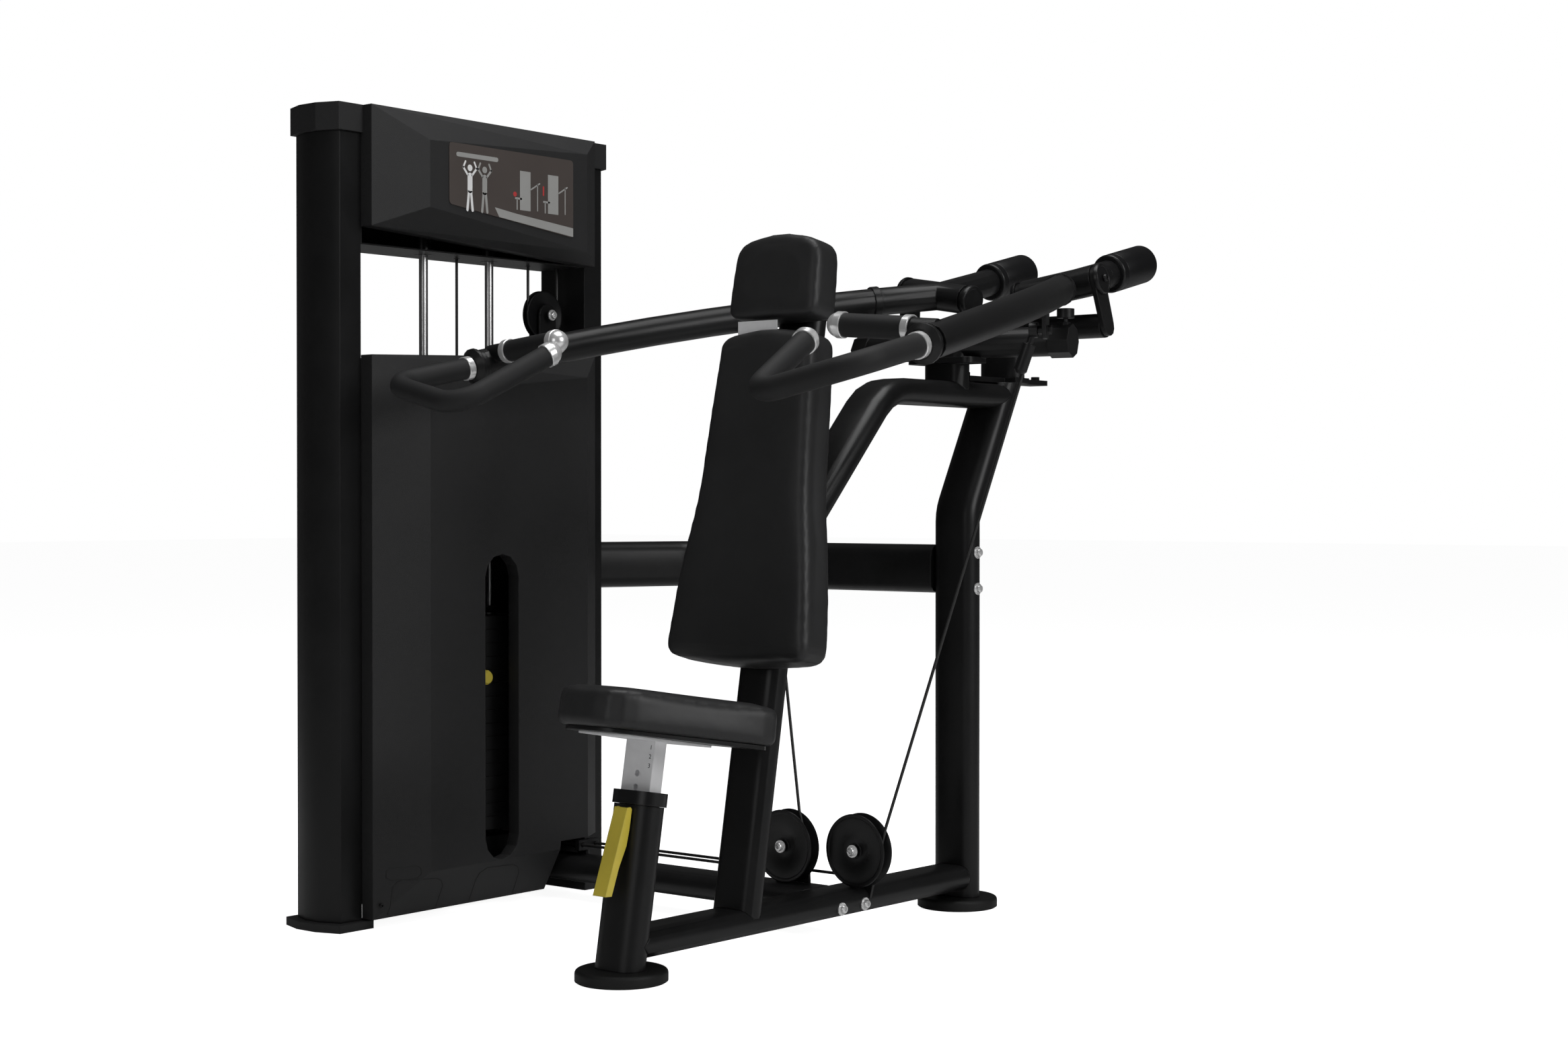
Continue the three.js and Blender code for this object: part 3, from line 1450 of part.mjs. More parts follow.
const PIN_TIP = STEM_DEPTH / 2 + 0.6;
const pinAlong = (distance) => PIN_AT.clone().addScaledVector(postFront, distance);
addSteel(
  "pop_pin",
  join(rod(pinAlong(PIN_TIP), pinAlong(42), 5), rod(pinAlong(POST_DEPTH / 2 + 2), pinAlong(40), 8)),
);

// ---------------------------------------------------------------- pads

const padLean = Math.atan(PAD_SLOPE);
const padUp = v(0, Math.sin(padLean), Math.cos(padLean));
const padFront = v(0, -Math.cos(padLean), Math.sin(padLean));
const BACK_PAD_THICKNESS = 70;
const HEAD_PAD_THICKNESS = 70;
const BACK_PAD_FRONT = v(0, 294, 560);
const HEAD_PAD_FRONT = v(0, 399, 1180);
const mirrored = (halfOutline) => [
  ...halfOutline.map(([x, h]) => [x, h]),
  ...halfOutline
    .filter(([x]) => x > 0)
    .map(([x, h]) => [-x, h])
    .reverse(),
];
const backHalf = [
  [0, -30],
  [175, -17],
  [165, 94],
  [153, 186],
  [134, 285],
  [121, 500],
  [114, 590],
  [0, 610],
];
const headHalf = [
  [107, -5],
  [100, 138],
  [0, 162],
];
addRubber(
  "back_pad",
  cushion(
    rounded(mirrored(backHalf), [60, 34, 30, 30, 45, 40, 26, 60, 26, 40, 45, 30, 30, 34]),
    BACK_PAD_THICKNESS,
    BACK_PAD_FRONT.clone().addScaledVector(padFront, -BACK_PAD_THICKNESS),
    X,
    padUp,
  ),
);
addRubber(
  "head_pad",
  cushion(
    rounded(mirrored(headHalf), [24, 32, 60, 32, 24]),
    HEAD_PAD_THICKNESS,
    HEAD_PAD_FRONT.clone().addScaledVector(padFront, -HEAD_PAD_THICKNESS),
    X,
    padUp,
  ),
);

export default group;
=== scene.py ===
import json
import math

import bmesh
import bpy
from mathutils import Matrix, Vector
from mathutils.bvhtree import BVHTree


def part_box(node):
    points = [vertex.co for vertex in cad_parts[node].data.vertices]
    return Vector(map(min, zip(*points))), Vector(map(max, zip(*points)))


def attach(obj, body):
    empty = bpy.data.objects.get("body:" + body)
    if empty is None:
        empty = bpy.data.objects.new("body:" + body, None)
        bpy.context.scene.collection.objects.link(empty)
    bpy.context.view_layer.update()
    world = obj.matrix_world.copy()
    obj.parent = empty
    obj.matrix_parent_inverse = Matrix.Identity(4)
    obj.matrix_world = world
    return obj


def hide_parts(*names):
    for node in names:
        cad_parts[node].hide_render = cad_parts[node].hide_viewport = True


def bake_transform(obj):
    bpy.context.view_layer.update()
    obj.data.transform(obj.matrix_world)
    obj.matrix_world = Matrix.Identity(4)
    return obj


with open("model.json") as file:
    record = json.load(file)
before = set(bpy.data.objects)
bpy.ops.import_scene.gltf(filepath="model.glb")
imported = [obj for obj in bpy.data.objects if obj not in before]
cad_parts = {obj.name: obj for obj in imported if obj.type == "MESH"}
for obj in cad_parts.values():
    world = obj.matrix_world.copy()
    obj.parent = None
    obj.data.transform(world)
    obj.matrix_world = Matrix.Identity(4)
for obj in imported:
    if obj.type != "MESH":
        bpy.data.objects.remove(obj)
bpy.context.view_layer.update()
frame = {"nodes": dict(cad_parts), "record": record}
nodes = frame["nodes"]

SIDES = (("left", 1), ("right", -1))
TOWER_X = -0.807
GRIP_RADIUS = 0.0205
GRIP = ((0.5348, 0.1432, 1.0873), (0.5568, -0.0368, 1.05), (0.3468, -0.064, 1.0032), (0.3063, 0.1288, 1.1029))
GRIP_BEND = 0.055
SHORT_GRIP = ((0.485, 0.193, 1.119), (0.341, 0.182, 1.131))
PIVOT = ((0.252, 1.161, 1.286), (0.054, 1.136, 1.254))
PULLEYS = {"a": (-0.112, 0.587, 0.16), "b": (0.036, 0.625, 0.16)}
CABLE_TURN = 0.05
CABLE_RADIUS = 0.003
CABLE_LEAVES_TOWER_X = -0.74
STACK_CABLE_Y = 0.361
BLOCK_WHEEL_Y = 0.608
BLOCK_WHEEL_Z = 1.228
GUIDE_RODS_Y = (0.27, 0.452)
ROD_RADIUS = 0.0096
BUSHING_Z = 1.3305
BUMP_RING_Z = 0.6
PLATE_COUNT = 16
PLATES_AT_REST = 11
PLATE_PITCH = 0.0275
FIRST_PLATE_Z = 0.156
BASE_SIDE_X = 0.0497
POST_LEAN = math.radians(10)


# ---------------------------------------------------------------- materials


def link(tree, *pairs):
    for source, target in pairs:
        tree.links.new(source, target)


def new_node(tree, kind, **inputs):
    made = tree.nodes.new("ShaderNode" + kind)
    for name, value in inputs.items():
        made.inputs[name.replace("_", " ")].default_value = value
    return made


def surface(
    name,
    colour,
    roughness,
    metal=0.0,
    variation=0.12,
    patch=6.0,
    grain=900.0,
    bump=0.05,
    cells=False,
    coat=0.0,
    edge=0.0,
    shine=0.5,
    stretch=(1, 1, 1),
):
    """A procedural finish: patchy colour and gloss, fine grain, and lighter worn edges."""
    material = bpy.data.materials.new(name)
    material.use_nodes = True
    tree = material.node_tree
    shader = tree.nodes["Principled BSDF"]
    place = new_node(tree, "TexCoord")
    scale = new_node(tree, "Mapping")
    scale.inputs["Scale"].default_value = stretch
    link(tree, (place.outputs["Object"], scale.inputs["Vector"]))
    clouds = new_node(tree, "TexNoise", Scale=patch, Detail=5.0, Roughness=0.6)
    link(tree, (scale.outputs[0], clouds.inputs["Vector"]))
    ramp = new_node(tree, "MapRange")
    ramp.inputs["From Min"].default_value = 0.3
    ramp.inputs["From Max"].default_value = 0.7
    ramp.inputs["To Min"].default_value = 1 - variation
    ramp.inputs["To Max"].default_value = 1 + variation
    link(tree, (clouds.outputs["Fac"], ramp.inputs["Value"]))
    tint = new_node(tree, "VectorMath")
    tint.operation = "SCALE"
    tint.inputs[0].default_value = colour
    link(tree, (ramp.outputs[0], tint.inputs["Scale"]))
    paint = tint.outputs[0]
    gloss = new_node(tree, "Math")
    gloss.operation = "MULTIPLY"
    gloss.inputs[1].default_value = roughness
    link(tree, (ramp.outputs[0], gloss.inputs[0]), (gloss.outputs[0], shader.inputs["Roughness"]))
    if edge:
        rounded = new_node(tree, "Bevel", Radius=0.0025)
        rounded.samples = 3
        geometry = new_node(tree, "NewGeometry")
        dot = new_node(tree, "VectorMath")
        dot.operation = "DOT_PRODUCT"
        link(tree, (rounded.outputs[0], dot.inputs[0]), (geometry.outputs["Normal"], dot.inputs[1]))
        worn = new_node(tree, "MapRange")
        worn.inputs["From Min"].default_value = 0.97
        worn.inputs["From Max"].default_value = 0.75
        worn.inputs["To Max"].default_value = edge
        mix = new_node(tree, "Mix")
        mix.data_type = "RGBA"
        mix.inputs[7].default_value = (*[min(1, c * 2.2 + 0.012) for c in colour], 1)
        link(
            tree,
            (dot.outputs["Value"], worn.inputs["Value"]),
            (worn.outputs[0], mix.inputs[0]),
            (paint, mix.inputs[6]),
        )
        paint = mix.outputs[2]
    link(tree, (paint, shader.inputs["Base Color"]))
    shader.inputs["Metallic"].default_value = metal
    shader.inputs["Coat Weight"].default_value = coat
    shader.inputs["Specular IOR Level"].default_value = shine
    if cells:
        fine = new_node(tree, "TexVoronoi", Scale=grain)
        fine.feature = "DISTANCE_TO_EDGE"
        height = fine.outputs["Distance"]
    else:
        fine = new_node(tree, "TexNoise", Scale=grain, Detail=2.0)
        height = fine.outputs["Fac"]
    relief = new_node(tree, "Bump", Strength=bump, Distance=0.0006)
    link(
        tree,
        (scale.outputs[0], fine.inputs["Vector"]),
        (height, relief.inputs["Height"]),
        (relief.outputs[0], shader.inputs["Normal"]),
    )
    if edge:
        link(tree, (rounded.outputs[0], relief.inputs["Normal"]))
    return material


def black(level):
    """A near-black colour, a little blue."""
    return level, level, level + 0.0005


coated = surface(
    "coated_steel", (0.0085, 0.0085, 0.0088), 0.34, patch=9, grain=1400, bump=0.12, shine=0.26, edge=0.4
)
moulded = surface(
    "moulded_plastic", black(0.0165), 0.55, grain=900, bump=0.6, variation=0.07, shine=0.3, edge=0.3
)
smooth_plastic = surface("smooth_plastic", black(0.005), 0.34, grain=500, bump=0.06, shine=0.35, edge=0.25)
foot_rubber = surface("foot_rubber", (0.005, 0.005, 0.005), 0.55, grain=1600, bump=0.4, shine=0.3)
grip_rubber = surface("grip_rubber", black(0.011), 0.62, grain=2600, bump=0.4, shine=0.3, variation=0.05)
jacket = surface("cable_jacket", (0.008, 0.008, 0.008), 0.45, grain=3000, bump=0.2)
leather = surface("upholstery", black(0.018), 0.44, grain=620, bump=0.14, cells=True, patch=4, shine=0.32)
satin = surface("satin_steel", (0.8, 0.8, 0.8), 0.26, metal=0.6, variation=0.06, grain=260, bump=0.04)
rod_steel = surface("rod_steel", (0.55, 0.55, 0.55), 0.3, metal=1, stretch=(1, 1, 0.02), grain=900, bump=0.08)
silver = surface("silver_coat", (0.8, 0.8, 0.81), 0.4, metal=0.2, grain=1800, bump=0.15, edge=0.3)
yellow = surface("yellow_coat", (0.72, 0.58, 0.07), 0.4, grain=1500, bump=0.15, coat=0.2, edge=0.25)
iron = surface("plate_coat", black(0.006), 0.5, grain=1100, bump=0.35, edge=0.5)


def print_ink(name, colour):
    return surface(name, colour, 0.45, grain=900, bump=0.05, variation=0.04)


placard = print_ink("placard_print", (0.062, 0.05, 0.045))
grey_print = print_ink("grey_print", (0.32, 0.32, 0.31))
white_print = print_ink("white_print", (0.8, 0.8, 0.8))
red_print = print_ink("red_print", (0.45, 0.04, 0.04))
# Near-black for the seat stem's printed numbers, and painted shade for the pressed lines on the lower cover
groove_shade_and_print = surface("groove_shade_and_print", (0.004, 0.004, 0.004), 0.7, grain=900, bump=0.05)

BY_SLOT = {
    "black_frame": coated,
    "moulded_cover": moulded,
    "black_plastic": smooth_plastic,
    "foot_rubber": foot_rubber,
    "grip_rubber": grip_rubber,
    "upholstery": leather,
    "cable_jacket": jacket,
    "polished_steel": rod_steel,
    "stack_plates": iron,
    "yellow_adjuster": yellow,
    "stem_silver": silver,
    "placard": placard,
}


# ---------------------------------------------------------------- smooth shading of the frame


def smoothing(limit):
    """Geometry nodes that join split corners and shade edges below a limit, in degrees, smooth."""
    tree = bpy.data.node_groups.new(f"smooth_below_{limit}", "GeometryNodeTree")
    tree.interface.new_socket("Geometry", in_out="INPUT", socket_type="NodeSocketGeometry")
    tree.interface.new_socket("Geometry", in_out="OUTPUT", socket_type="NodeSocketGeometry")
    start = tree.nodes.new("NodeGroupInput")
    end = tree.nodes.new("NodeGroupOutput")
    plain = tree.nodes.new("GeometryNodeRemoveAttribute")
    plain.inputs["Name"].default_value = "custom_normal"
    weld = tree.nodes.new("GeometryNodeMergeByDistance")
    weld.inputs["Distance"].default_value = 2e-6
    faces = tree.nodes.new("GeometryNodeSetShadeSmooth")
    edges = tree.nodes.new("GeometryNodeSetShadeSmooth")
    edges.domain = "EDGE"
    edges.inputs["Shade Smooth"].default_value = False
    angle = tree.nodes.new("GeometryNodeInputMeshEdgeAngle")
    sharp = tree.nodes.new("FunctionNodeCompare")
    sharp.operation = "GREATER_THAN"
    sharp.inputs[1].default_value = math.radians(limit)
    link(
        tree,
        (start.outputs[0], plain.inputs["Geometry"]),
        (plain.outputs["Geometry"], weld.inputs["Geometry"]),
        (weld.outputs["Geometry"], faces.inputs["Geometry"]),
        (faces.outputs["Geometry"], edges.inputs["Geometry"]),
        (angle.outputs["Unsigned Angle"], sharp.inputs[0]),
        (sharp.outputs[0], edges.inputs["Selection"]),
        (edges.outputs["Geometry"], end.inputs[0]),
    )
    return tree


round_tree = smoothing(38)
flat_tree = smoothing(8)
for part in frame["record"]["subparts"]:
    obj = nodes[part["node"]]
    obj.data.materials.clear()
    obj.data.materials.append(BY_SLOT[part["material_slot"]])
    is_panel = part["material_slot"] == "moulded_cover" and "foot" not in part["node"]
    obj.modifiers.new("smooth", "NODES").node_group = flat_tree if is_panel else round_tree


# ---------------------------------------------------------------- piece builders


def piece(name, mesh, material, body, replaces=()):
    obj = bpy.data.objects.new(name, mesh)
    bpy.context.collection.objects.link(obj)
    mesh.materials.append(material)
    if body:
        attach(obj, body)
    if replaces:
        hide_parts(*replaces)
    return obj


def facing(origin, direction):
    turn = Vector(direction).normalized().to_track_quat("Z", "Y").to_matrix().to_4x4()
    return Matrix.Translation(Vector(origin)) @ turn


def shade(mesh, angle=32):
    mesh.polygons.foreach_set("use_smooth", [True] * len(mesh.polygons))
    mesh.set_sharp_from_angle(angle=math.radians(angle))
    return mesh


def lathe(name, profile, origin, direction, segments=64):
    """A turned mesh from radius and height pairs, closed on the axis or on itself."""
    bm = bmesh.new()
    place = facing(origin, direction)
    rings = []
    for radius, height in profile:
        if radius < 1e-7:
            rings.append([bm.verts.new(place @ Vector((0, 0, height)))])
            continue
        turns = [2 * math.pi * i / segments for i in range(segments)]
        corners = [(radius * math.cos(t), radius * math.sin(t), height) for t in turns]
        rings.append([bm.verts.new(place @ Vector(c)) for c in corners])
    closed = len(rings[0]) > 1
    pairs = list(zip(rings, rings[1:])) + ([(rings[-1], rings[0])] if closed else [])
    for low, high in pairs:
        for i in range(segments):
            k = (i + 1) % segments
            corners = [low[i % len(low)], low[k % len(low)], high[k % len(high)], high[i % len(high)]]
            bm.faces.new(list(dict.fromkeys(corners)))
    bmesh.ops.recalc_face_normals(bm, faces=bm.faces)
    mesh = bpy.data.meshes.new(name)
    bm.to_mesh(mesh)
    bm.free()
    return shade(mesh)


def mirrored(point, side):
    return Vector((point[0] * side, point[1], point[2]))


def rounded_path(corners, radius, turns=14):
    """Points along straight runs joined by arcs."""
    points = [Vector(corners[0])]
    for before, corner, after in zip(corners, corners[1:], corners[2:]):
        into = (Vector(corner) - Vector(before)).normalized()
        out = (Vector(after) - Vector(corner)).normalized()
        angle = into.angle(out)
        start = Vector(corner) - into * radius * math.tan(angle / 2)
        axis = into.cross(out).normalized()
        centre = start + axis.cross(into) * radius
        for k in range(turns + 1):
            points.append(Matrix.Rotation(angle * k / turns, 3, axis) @ (start - centre) + centre)
    return points + [Vector(corners[-1])]


def tube(name, points, radius, resolution=8):
    curve = bpy.data.curves.new(name, "CURVE")
    curve.dimensions = "3D"
    curve.bevel_depth = radius
    curve.bevel_resolution = resolution
    curve.use_fill_caps = True
    spline = curve.splines.new("POLY")
    spline.points.add(len(points) - 1)
    for at, point in zip(spline.points, points):
        at.co = (*point, 1)
    holder = bpy.data.objects.new(name, curve)
    bpy.context.collection.objects.link(holder)
    bpy.context.view_layer.update()
    evaluated = holder.evaluated_get(bpy.context.evaluated_depsgraph_get())
    mesh = bpy.data.meshes.new_from_object(evaluated)
    bpy.data.objects.remove(holder)
    return shade(mesh, 50)


def arc(radius, height, start, end, steps=6):
    """Profile points round a corner centred at (radius, height); angles in degrees, size in the caller."""
    turns = [math.radians(start + (end - start) * i / steps) for i in range(steps + 1)]
    return lambda size: [(radius + size * math.cos(t), height + size * math.sin(t)) for t in turns]


def bolt(name, at, direction, body, radius=0.009, material=None, washer=True):
    """A domed socket screw on a washer."""
    rim = radius * 1.45
    base = [(0, -0.001), (rim, -0.001), (rim, 0.0012), (rim - 0.0005, 0.0017)] if washer else [(0, -0.001)]
    head = [(radius, 0.0018), (radius, 0.0055), (radius * 0.86, 0.0078), (radius * 0.5, 0.0088)]
    socket = [(radius * 0.46, 0.0088), (radius * 0.42, 0.005), (0, 0.005)]
    mesh = lathe(name, base + head + socket, at, direction, 36)
    return piece(name, mesh, material or satin, body)


def outline_plate(name, corners, origin, across, up, thickness):
    """A thin flat plate with the given outline."""
    a, u = Vector(across), Vector(up)
    normal = a.cross(u)
    bm = bmesh.new()
    base = [bm.verts.new(Vector(origin) + a * x + u * y) for x, y in corners]
    face = bm.faces.new(base)
    made = bmesh.ops.extrude_face_region(bm, geom=[face])
    raised = [v for v in made["geom"] if isinstance(v, bmesh.types.BMVert)]
    bmesh.ops.translate(bm, verts=raised, vec=normal * thickness)
    bmesh.ops.recalc_face_normals(bm, faces=bm.faces)
    mesh = bpy.data.meshes.new(name)
    bm.to_mesh(mesh)
    bm.free()
    return mesh


def figure(name, text, at, across, up, size, material, body):
    """Generic numbers, as a thin raised mesh."""
    curve = bpy.data.curves.new(name, "FONT")
    curve.body = text
    curve.size = size
    curve.extrude = 0.0002
    curve.align_x = "CENTER"
    curve.align_y = "CENTER"
    holder = bpy.data.objects.new(name, curve)
    a, u = Vector(across), Vector(up)
    turn = Matrix((a, u, a.cross(u))).transposed().to_4x4()
    holder.matrix_world = Matrix.Translation(Vector(at)) @ turn
    bpy.context.collection.objects.link(holder)
    bpy.context.view_layer.update()
    evaluated = holder.evaluated_get(bpy.context.evaluated_depsgraph_get())
    mesh = bpy.data.meshes.new_from_object(evaluated)
    mesh.transform(holder.matrix_world)
    bpy.data.objects.remove(holder)
    return piece(name, mesh, material, body)


# ---------------------------------------------------------------- pads


VOXEL = 0.005
CLOTH_FRAMES = 20
EVENING_ROUNDS = 60


def pad(name, node, body, cap, back_depth, toward):
    """A padded cushion: the solid remeshed, blown up as cloth, its back held to the board."""
    mesh = nodes[node].data.copy()
    bm = bmesh.new()
    bm.from_mesh(mesh)
    bmesh.ops.remove_doubles(bm, verts=bm.verts, dist=1e-5)
    bm.to_mesh(mesh)
    bm.free()
    obj = bpy.data.objects.new(name, mesh)
    bpy.context.collection.objects.link(obj)
    remesh = obj.modifiers.new("remesh", "REMESH")
    remesh.mode = "VOXEL"
    remesh.voxel_size = VOXEL
    bpy.context.view_layer.update()
    dense = bpy.data.meshes.new_from_object(obj.evaluated_get(bpy.context.evaluated_depsgraph_get()))
    obj.modifiers.clear()
    obj.data = dense
    toward = Vector(toward).normalized()
    lowest = min(toward.dot(v.co) for v in dense.vertices)
    soften = obj.modifiers.new("soften", "SMOOTH")
    soften.iterations = 1
    soften.factor = 0.5
    settle(obj)
    rest = [v.co.copy() for v in obj.data.vertices]
    held = obj.vertex_groups.new(name="held")
    rear = [v.index for v in obj.data.vertices if toward.dot(v.co) - lowest < back_depth]
    held.add(rear, 1.0, "REPLACE")
    cloth = obj.modifiers.new("cloth", "CLOTH")
    cloth.settings.use_pressure = True
    cloth.settings.uniform_pressure_force = 4
    cloth.settings.effector_weights.gravity = 0
    cloth.settings.vertex_group_mass = "held"
    cloth.settings.tension_stiffness = 40
    cloth.settings.compression_stiffness = 40
    cloth.settings.bending_stiffness = 6
    cloth.point_cache.frame_start = 1
    cloth.point_cache.frame_end = CLOTH_FRAMES
    for step in range(1, CLOTH_FRAMES + 1):
        bpy.context.scene.frame_set(step)
    blown = obj.evaluated_get(bpy.context.evaluated_depsgraph_get())
    moved = [v.co.copy() for v in blown.data.vertices]
    obj.modifiers.clear()
    swell = even_out([end - start for start, end in zip(rest, moved)], obj.data.edges, EVENING_ROUNDS)
    for vertex, start, shift in zip(obj.data.vertices, rest, swell):
        if shift.length > cap:
            shift = shift * (cap / shift.length)
        vertex.co = start + shift
    bpy.context.scene.frame_set(1)
    finer = obj.modifiers.new("finer", "SUBSURF")
    finer.levels = 1
    finer.render_levels = 1
    settle(obj)
    obj.data.polygons.foreach_set("use_smooth", [True] * len(obj.data.polygons))
    obj.data.materials.clear()
    obj.data.materials.append(leather)
    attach(obj, body)
    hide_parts(node)
    return obj


def even_out(shifts, edges, rounds):
    """Shifts of a mesh's corners, each drawn towards the mean of its neighbours."""
    near = [[] for _ in shifts]
    for edge in edges:
        first, second = edge.vertices
        near[first].append(second)
        near[second].append(first)
    for _ in range(rounds):
        shifts = [
            shift * 0.4 + sum((shifts[k] for k in around), Vector()) * (0.6 / len(around))
            for shift, around in zip(shifts, near)
        ]
    return shifts


def settle(obj):
    bpy.context.view_layer.update()
    result = bpy.data.meshes.new_from_object(obj.evaluated_get(bpy.context.evaluated_depsgraph_get()))
    obj.modifiers.clear()
    obj.data = result


PAD_FRONT = (0, -0.987, 0.16)
pad("back_cushion", "back_pad", "root", 0.005, 0.012, PAD_FRONT)
pad("head_cushion", "head_pad", "root", 0.004, 0.012, PAD_FRONT)
pad("seat_cushion", "seat_pad", "seat", 0.006, 0.01, (0, 0.165, 0.986))


# ---------------------------------------------------------------- feet, pulleys, weights, caps

for node in ("front_foot", "rear_foot"):
    lo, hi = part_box(node)
    centre = ((lo[0] + hi[0]) / 2, (lo[1] + hi[1]) / 2, 0)
    edge_radius = (hi[0] - lo[0]) / 2
    round_top = arc(edge_radius - 0.007, 0.015, 0, 90)(0.007)
    profile = [(0, 0), (edge_radius - 0.003, 0), (edge_radius, 0.002), *round_top, (0, 0.022)]
    mesh = lathe(node, profile, centre, (0, 0, 1), 96)
    piece(node + "_disc", mesh, foot_rubber, "root", [node])


def wheel(name, node, centre, axis, radius, groove, half, body):
    """A grooved wheel with a recessed web and a hub."""
    hub = 0.014
    side = [
        (0.0065, half * 0.92),
        (hub, half * 0.92),
        (hub + 0.001, half * 0.84),
        (radius * 0.42, half * 0.84),
        (radius * 0.44, half * 0.9),
        (radius * 0.88, half * 0.9),
        (radius * 0.91, half),
        (radius - 0.002, half),
        (radius, half - 0.002),
    ]
    valley = [(groove + 0.004, half * 0.3), (groove, half * 0.12)]
    profile = side + valley
    profile += [(r, -h) for r, h in reversed(profile)]
    piece(name, lathe(name, profile, centre, axis, 80), smooth_plastic, body, [node])


for letter, centre in PULLEYS.items():
    body = "floor_wheel_" + letter
    wheel(body + "_look", "floor_pulley_" + letter, centre, (0, 1, 0), 0.071, 0.0467, 0.014, body)
block_centre = (TOWER_X, BLOCK_WHEEL_Y, BLOCK_WHEEL_Z)
wheel("block_wheel_look", "floating_pulley", block_centre, (1, 0, 0), 0.053, 0.039, 0.008, "block_wheel")

for name, side in SIDES:
    front, rear = mirrored((0.153, 1.335, 1.312), side), mirrored((0.1526, 1.475, 1.345), side)
    corner = arc(0.035, 0.133, 0, 90)(0.006)
    back = arc(0.036, 0.005, -90, 0)(0.005)
    front_face = [(0.03, 0.139), (0.029, 0.1375), (0, 0.1375)]
    profile = [(0, 0), *back, (0.0404, 0.02), (0.041, 0.021), *corner, *front_face]
    mesh = lathe(name + "_weight", profile, front, rear - front, 72)
    piece(name + "_weight", mesh, smooth_plastic, name + "_arm", [name + "_counterweight"])

    outer, inner = mirrored(PIVOT[0], side), mirrored(PIVOT[1], side)
    span = (outer - inner).length
    cap = [(0, 0.0012), (0.0245, 0.0012), (0.025, 0), (0.028, 0)]
    cap += [(0.0305, 0.0012), (0.032, 0.004), (0.032, 0.01)]
    profile = cap + [(0.012, 0.01), (0.012, span - 0.01)] + [(r, span - h) for r, h in reversed(cap)]
    mesh = lathe(name + "_axle", profile, inner, outer - inner, 64)
    piece(name + "_axle", mesh, smooth_plastic, "root", [name + "_pivot_axle"])


# ---------------------------------------------------------------- grips


def band(name, at, heading, body, length=0.014, radius=0.023):
    """A satin ring with eased edges round a grip."""
    half = length / 2
    inner = GRIP_RADIUS - 0.001
    profile = [
        (inner, -half),
        (radius - 0.001, -half),
        (radius, -half + 0.001),
        (radius, half - 0.001),
        (radius - 0.001, half),
        (inner, half),
    ]
    piece(name, lathe(name, profile, at, heading, 64), satin, body)


def ball(name, at, heading, body):
    """A domed steel end cap on a short neck."""
    radius, neck = 0.0215, 0.004
    turns = [math.radians(angle) for angle in range(0, 90, 9)]
    dome = [(radius * math.cos(t), neck + radius * math.sin(t)) for t in turns]
    profile = [(0, 0), (radius, 0), *dome, (0, neck + radius)]
    piece(name, lathe(name, profile, at, heading, 64), satin, body)


for name, side in SIDES:
    body = name + "_arm"
    corners = [mirrored(corner, side) for corner in GRIP]
    path = rounded_path(corners, GRIP_BEND)
    mesh = tube(name + "_main_hold", path, GRIP_RADIUS, 12)
    piece(name + "_main_hold", mesh, grip_rubber, body, [name + "_main_grip"])
    first = (path[1] - path[0]).normalized()
    last = (path[-1] - path[-2]).normalized()
    band(name + "_main_ring", path[0] + first * 0.007, first, body)
    band(name + "_end_ring", path[-1] - last * 0.001, last, body)
    ball(name + "_main_ball", path[-1], last, body)
    root, end = (mirrored(p, side) for p in SHORT_GRIP)
    heading = (end - root).normalized()
    mesh = tube(name + "_short_hold", [root + heading * 0.0005, end], GRIP_RADIUS, 12)
    piece(name + "_short_hold", mesh, grip_rubber, body, [name + "_short_grip"])
    band(name + "_short_ring", root + heading * 0.0075, heading, body)
    band(name + "_short_end_ring", end - heading * 0.001, heading, body)
    ball(name + "_short_ball", end, heading, body)


# ---------------------------------------------------------------- cables


def cable_top(node):
    """The lowest middle point of an arm's cable socket, from its solid."""
    lows = sorted((v.co.z, v.co.x, v.co.y) for v in nodes[node].data.vertices)[:8]
    z, x, y = (sum(axis) / len(lows) for axis in zip(*lows))
    return Vector((x, y, z + 0.004))


for name, side in SIDES:
    x, y, z = PULLEYS["b" if side > 0 else "a"]
    top = cable_top(name + "_rod_end")
    centre = Vector((x, y, z))
    lift = top - centre
    leave = math.atan2(lift.z, lift.x) - math.acos(CABLE_TURN / math.hypot(lift.x, lift.z))
    turns = [-math.pi / 2 + (leave + math.pi / 2) * i / 24 for i in range(25)]
    wrap = [centre + Vector((math.cos(t), 0, math.sin(t))) * CABLE_TURN for t in turns]
    rising = Vector((-math.sin(leave), 0, math.cos(leave)))
    free = wrap[-1] + rising * 0.058
    run = [free.lerp(top, i / 60) for i in range(61)]
    points = [Vector((CABLE_LEAVES_TOWER_X, y, z - CABLE_TURN)), *wrap, *run]
    mesh = tube(name + "_cable", points, CABLE_RADIUS, 4)
    rope = piece(name + "_cable", mesh, jacket, None, [name + "_arm_cable"])
    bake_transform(rope)

lo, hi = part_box("stack_cable")
ends = [Vector((TOWER_X, STACK_CABLE_Y, z)) for z in (lo[2], hi[2])]
mesh = tube("lift_cable", ends, CABLE_RADIUS, 4)
piece("lift_cable", mesh, jacket, "lifted_stack", ["stack_cable"])


# ---------------------------------------------------------------- tower details

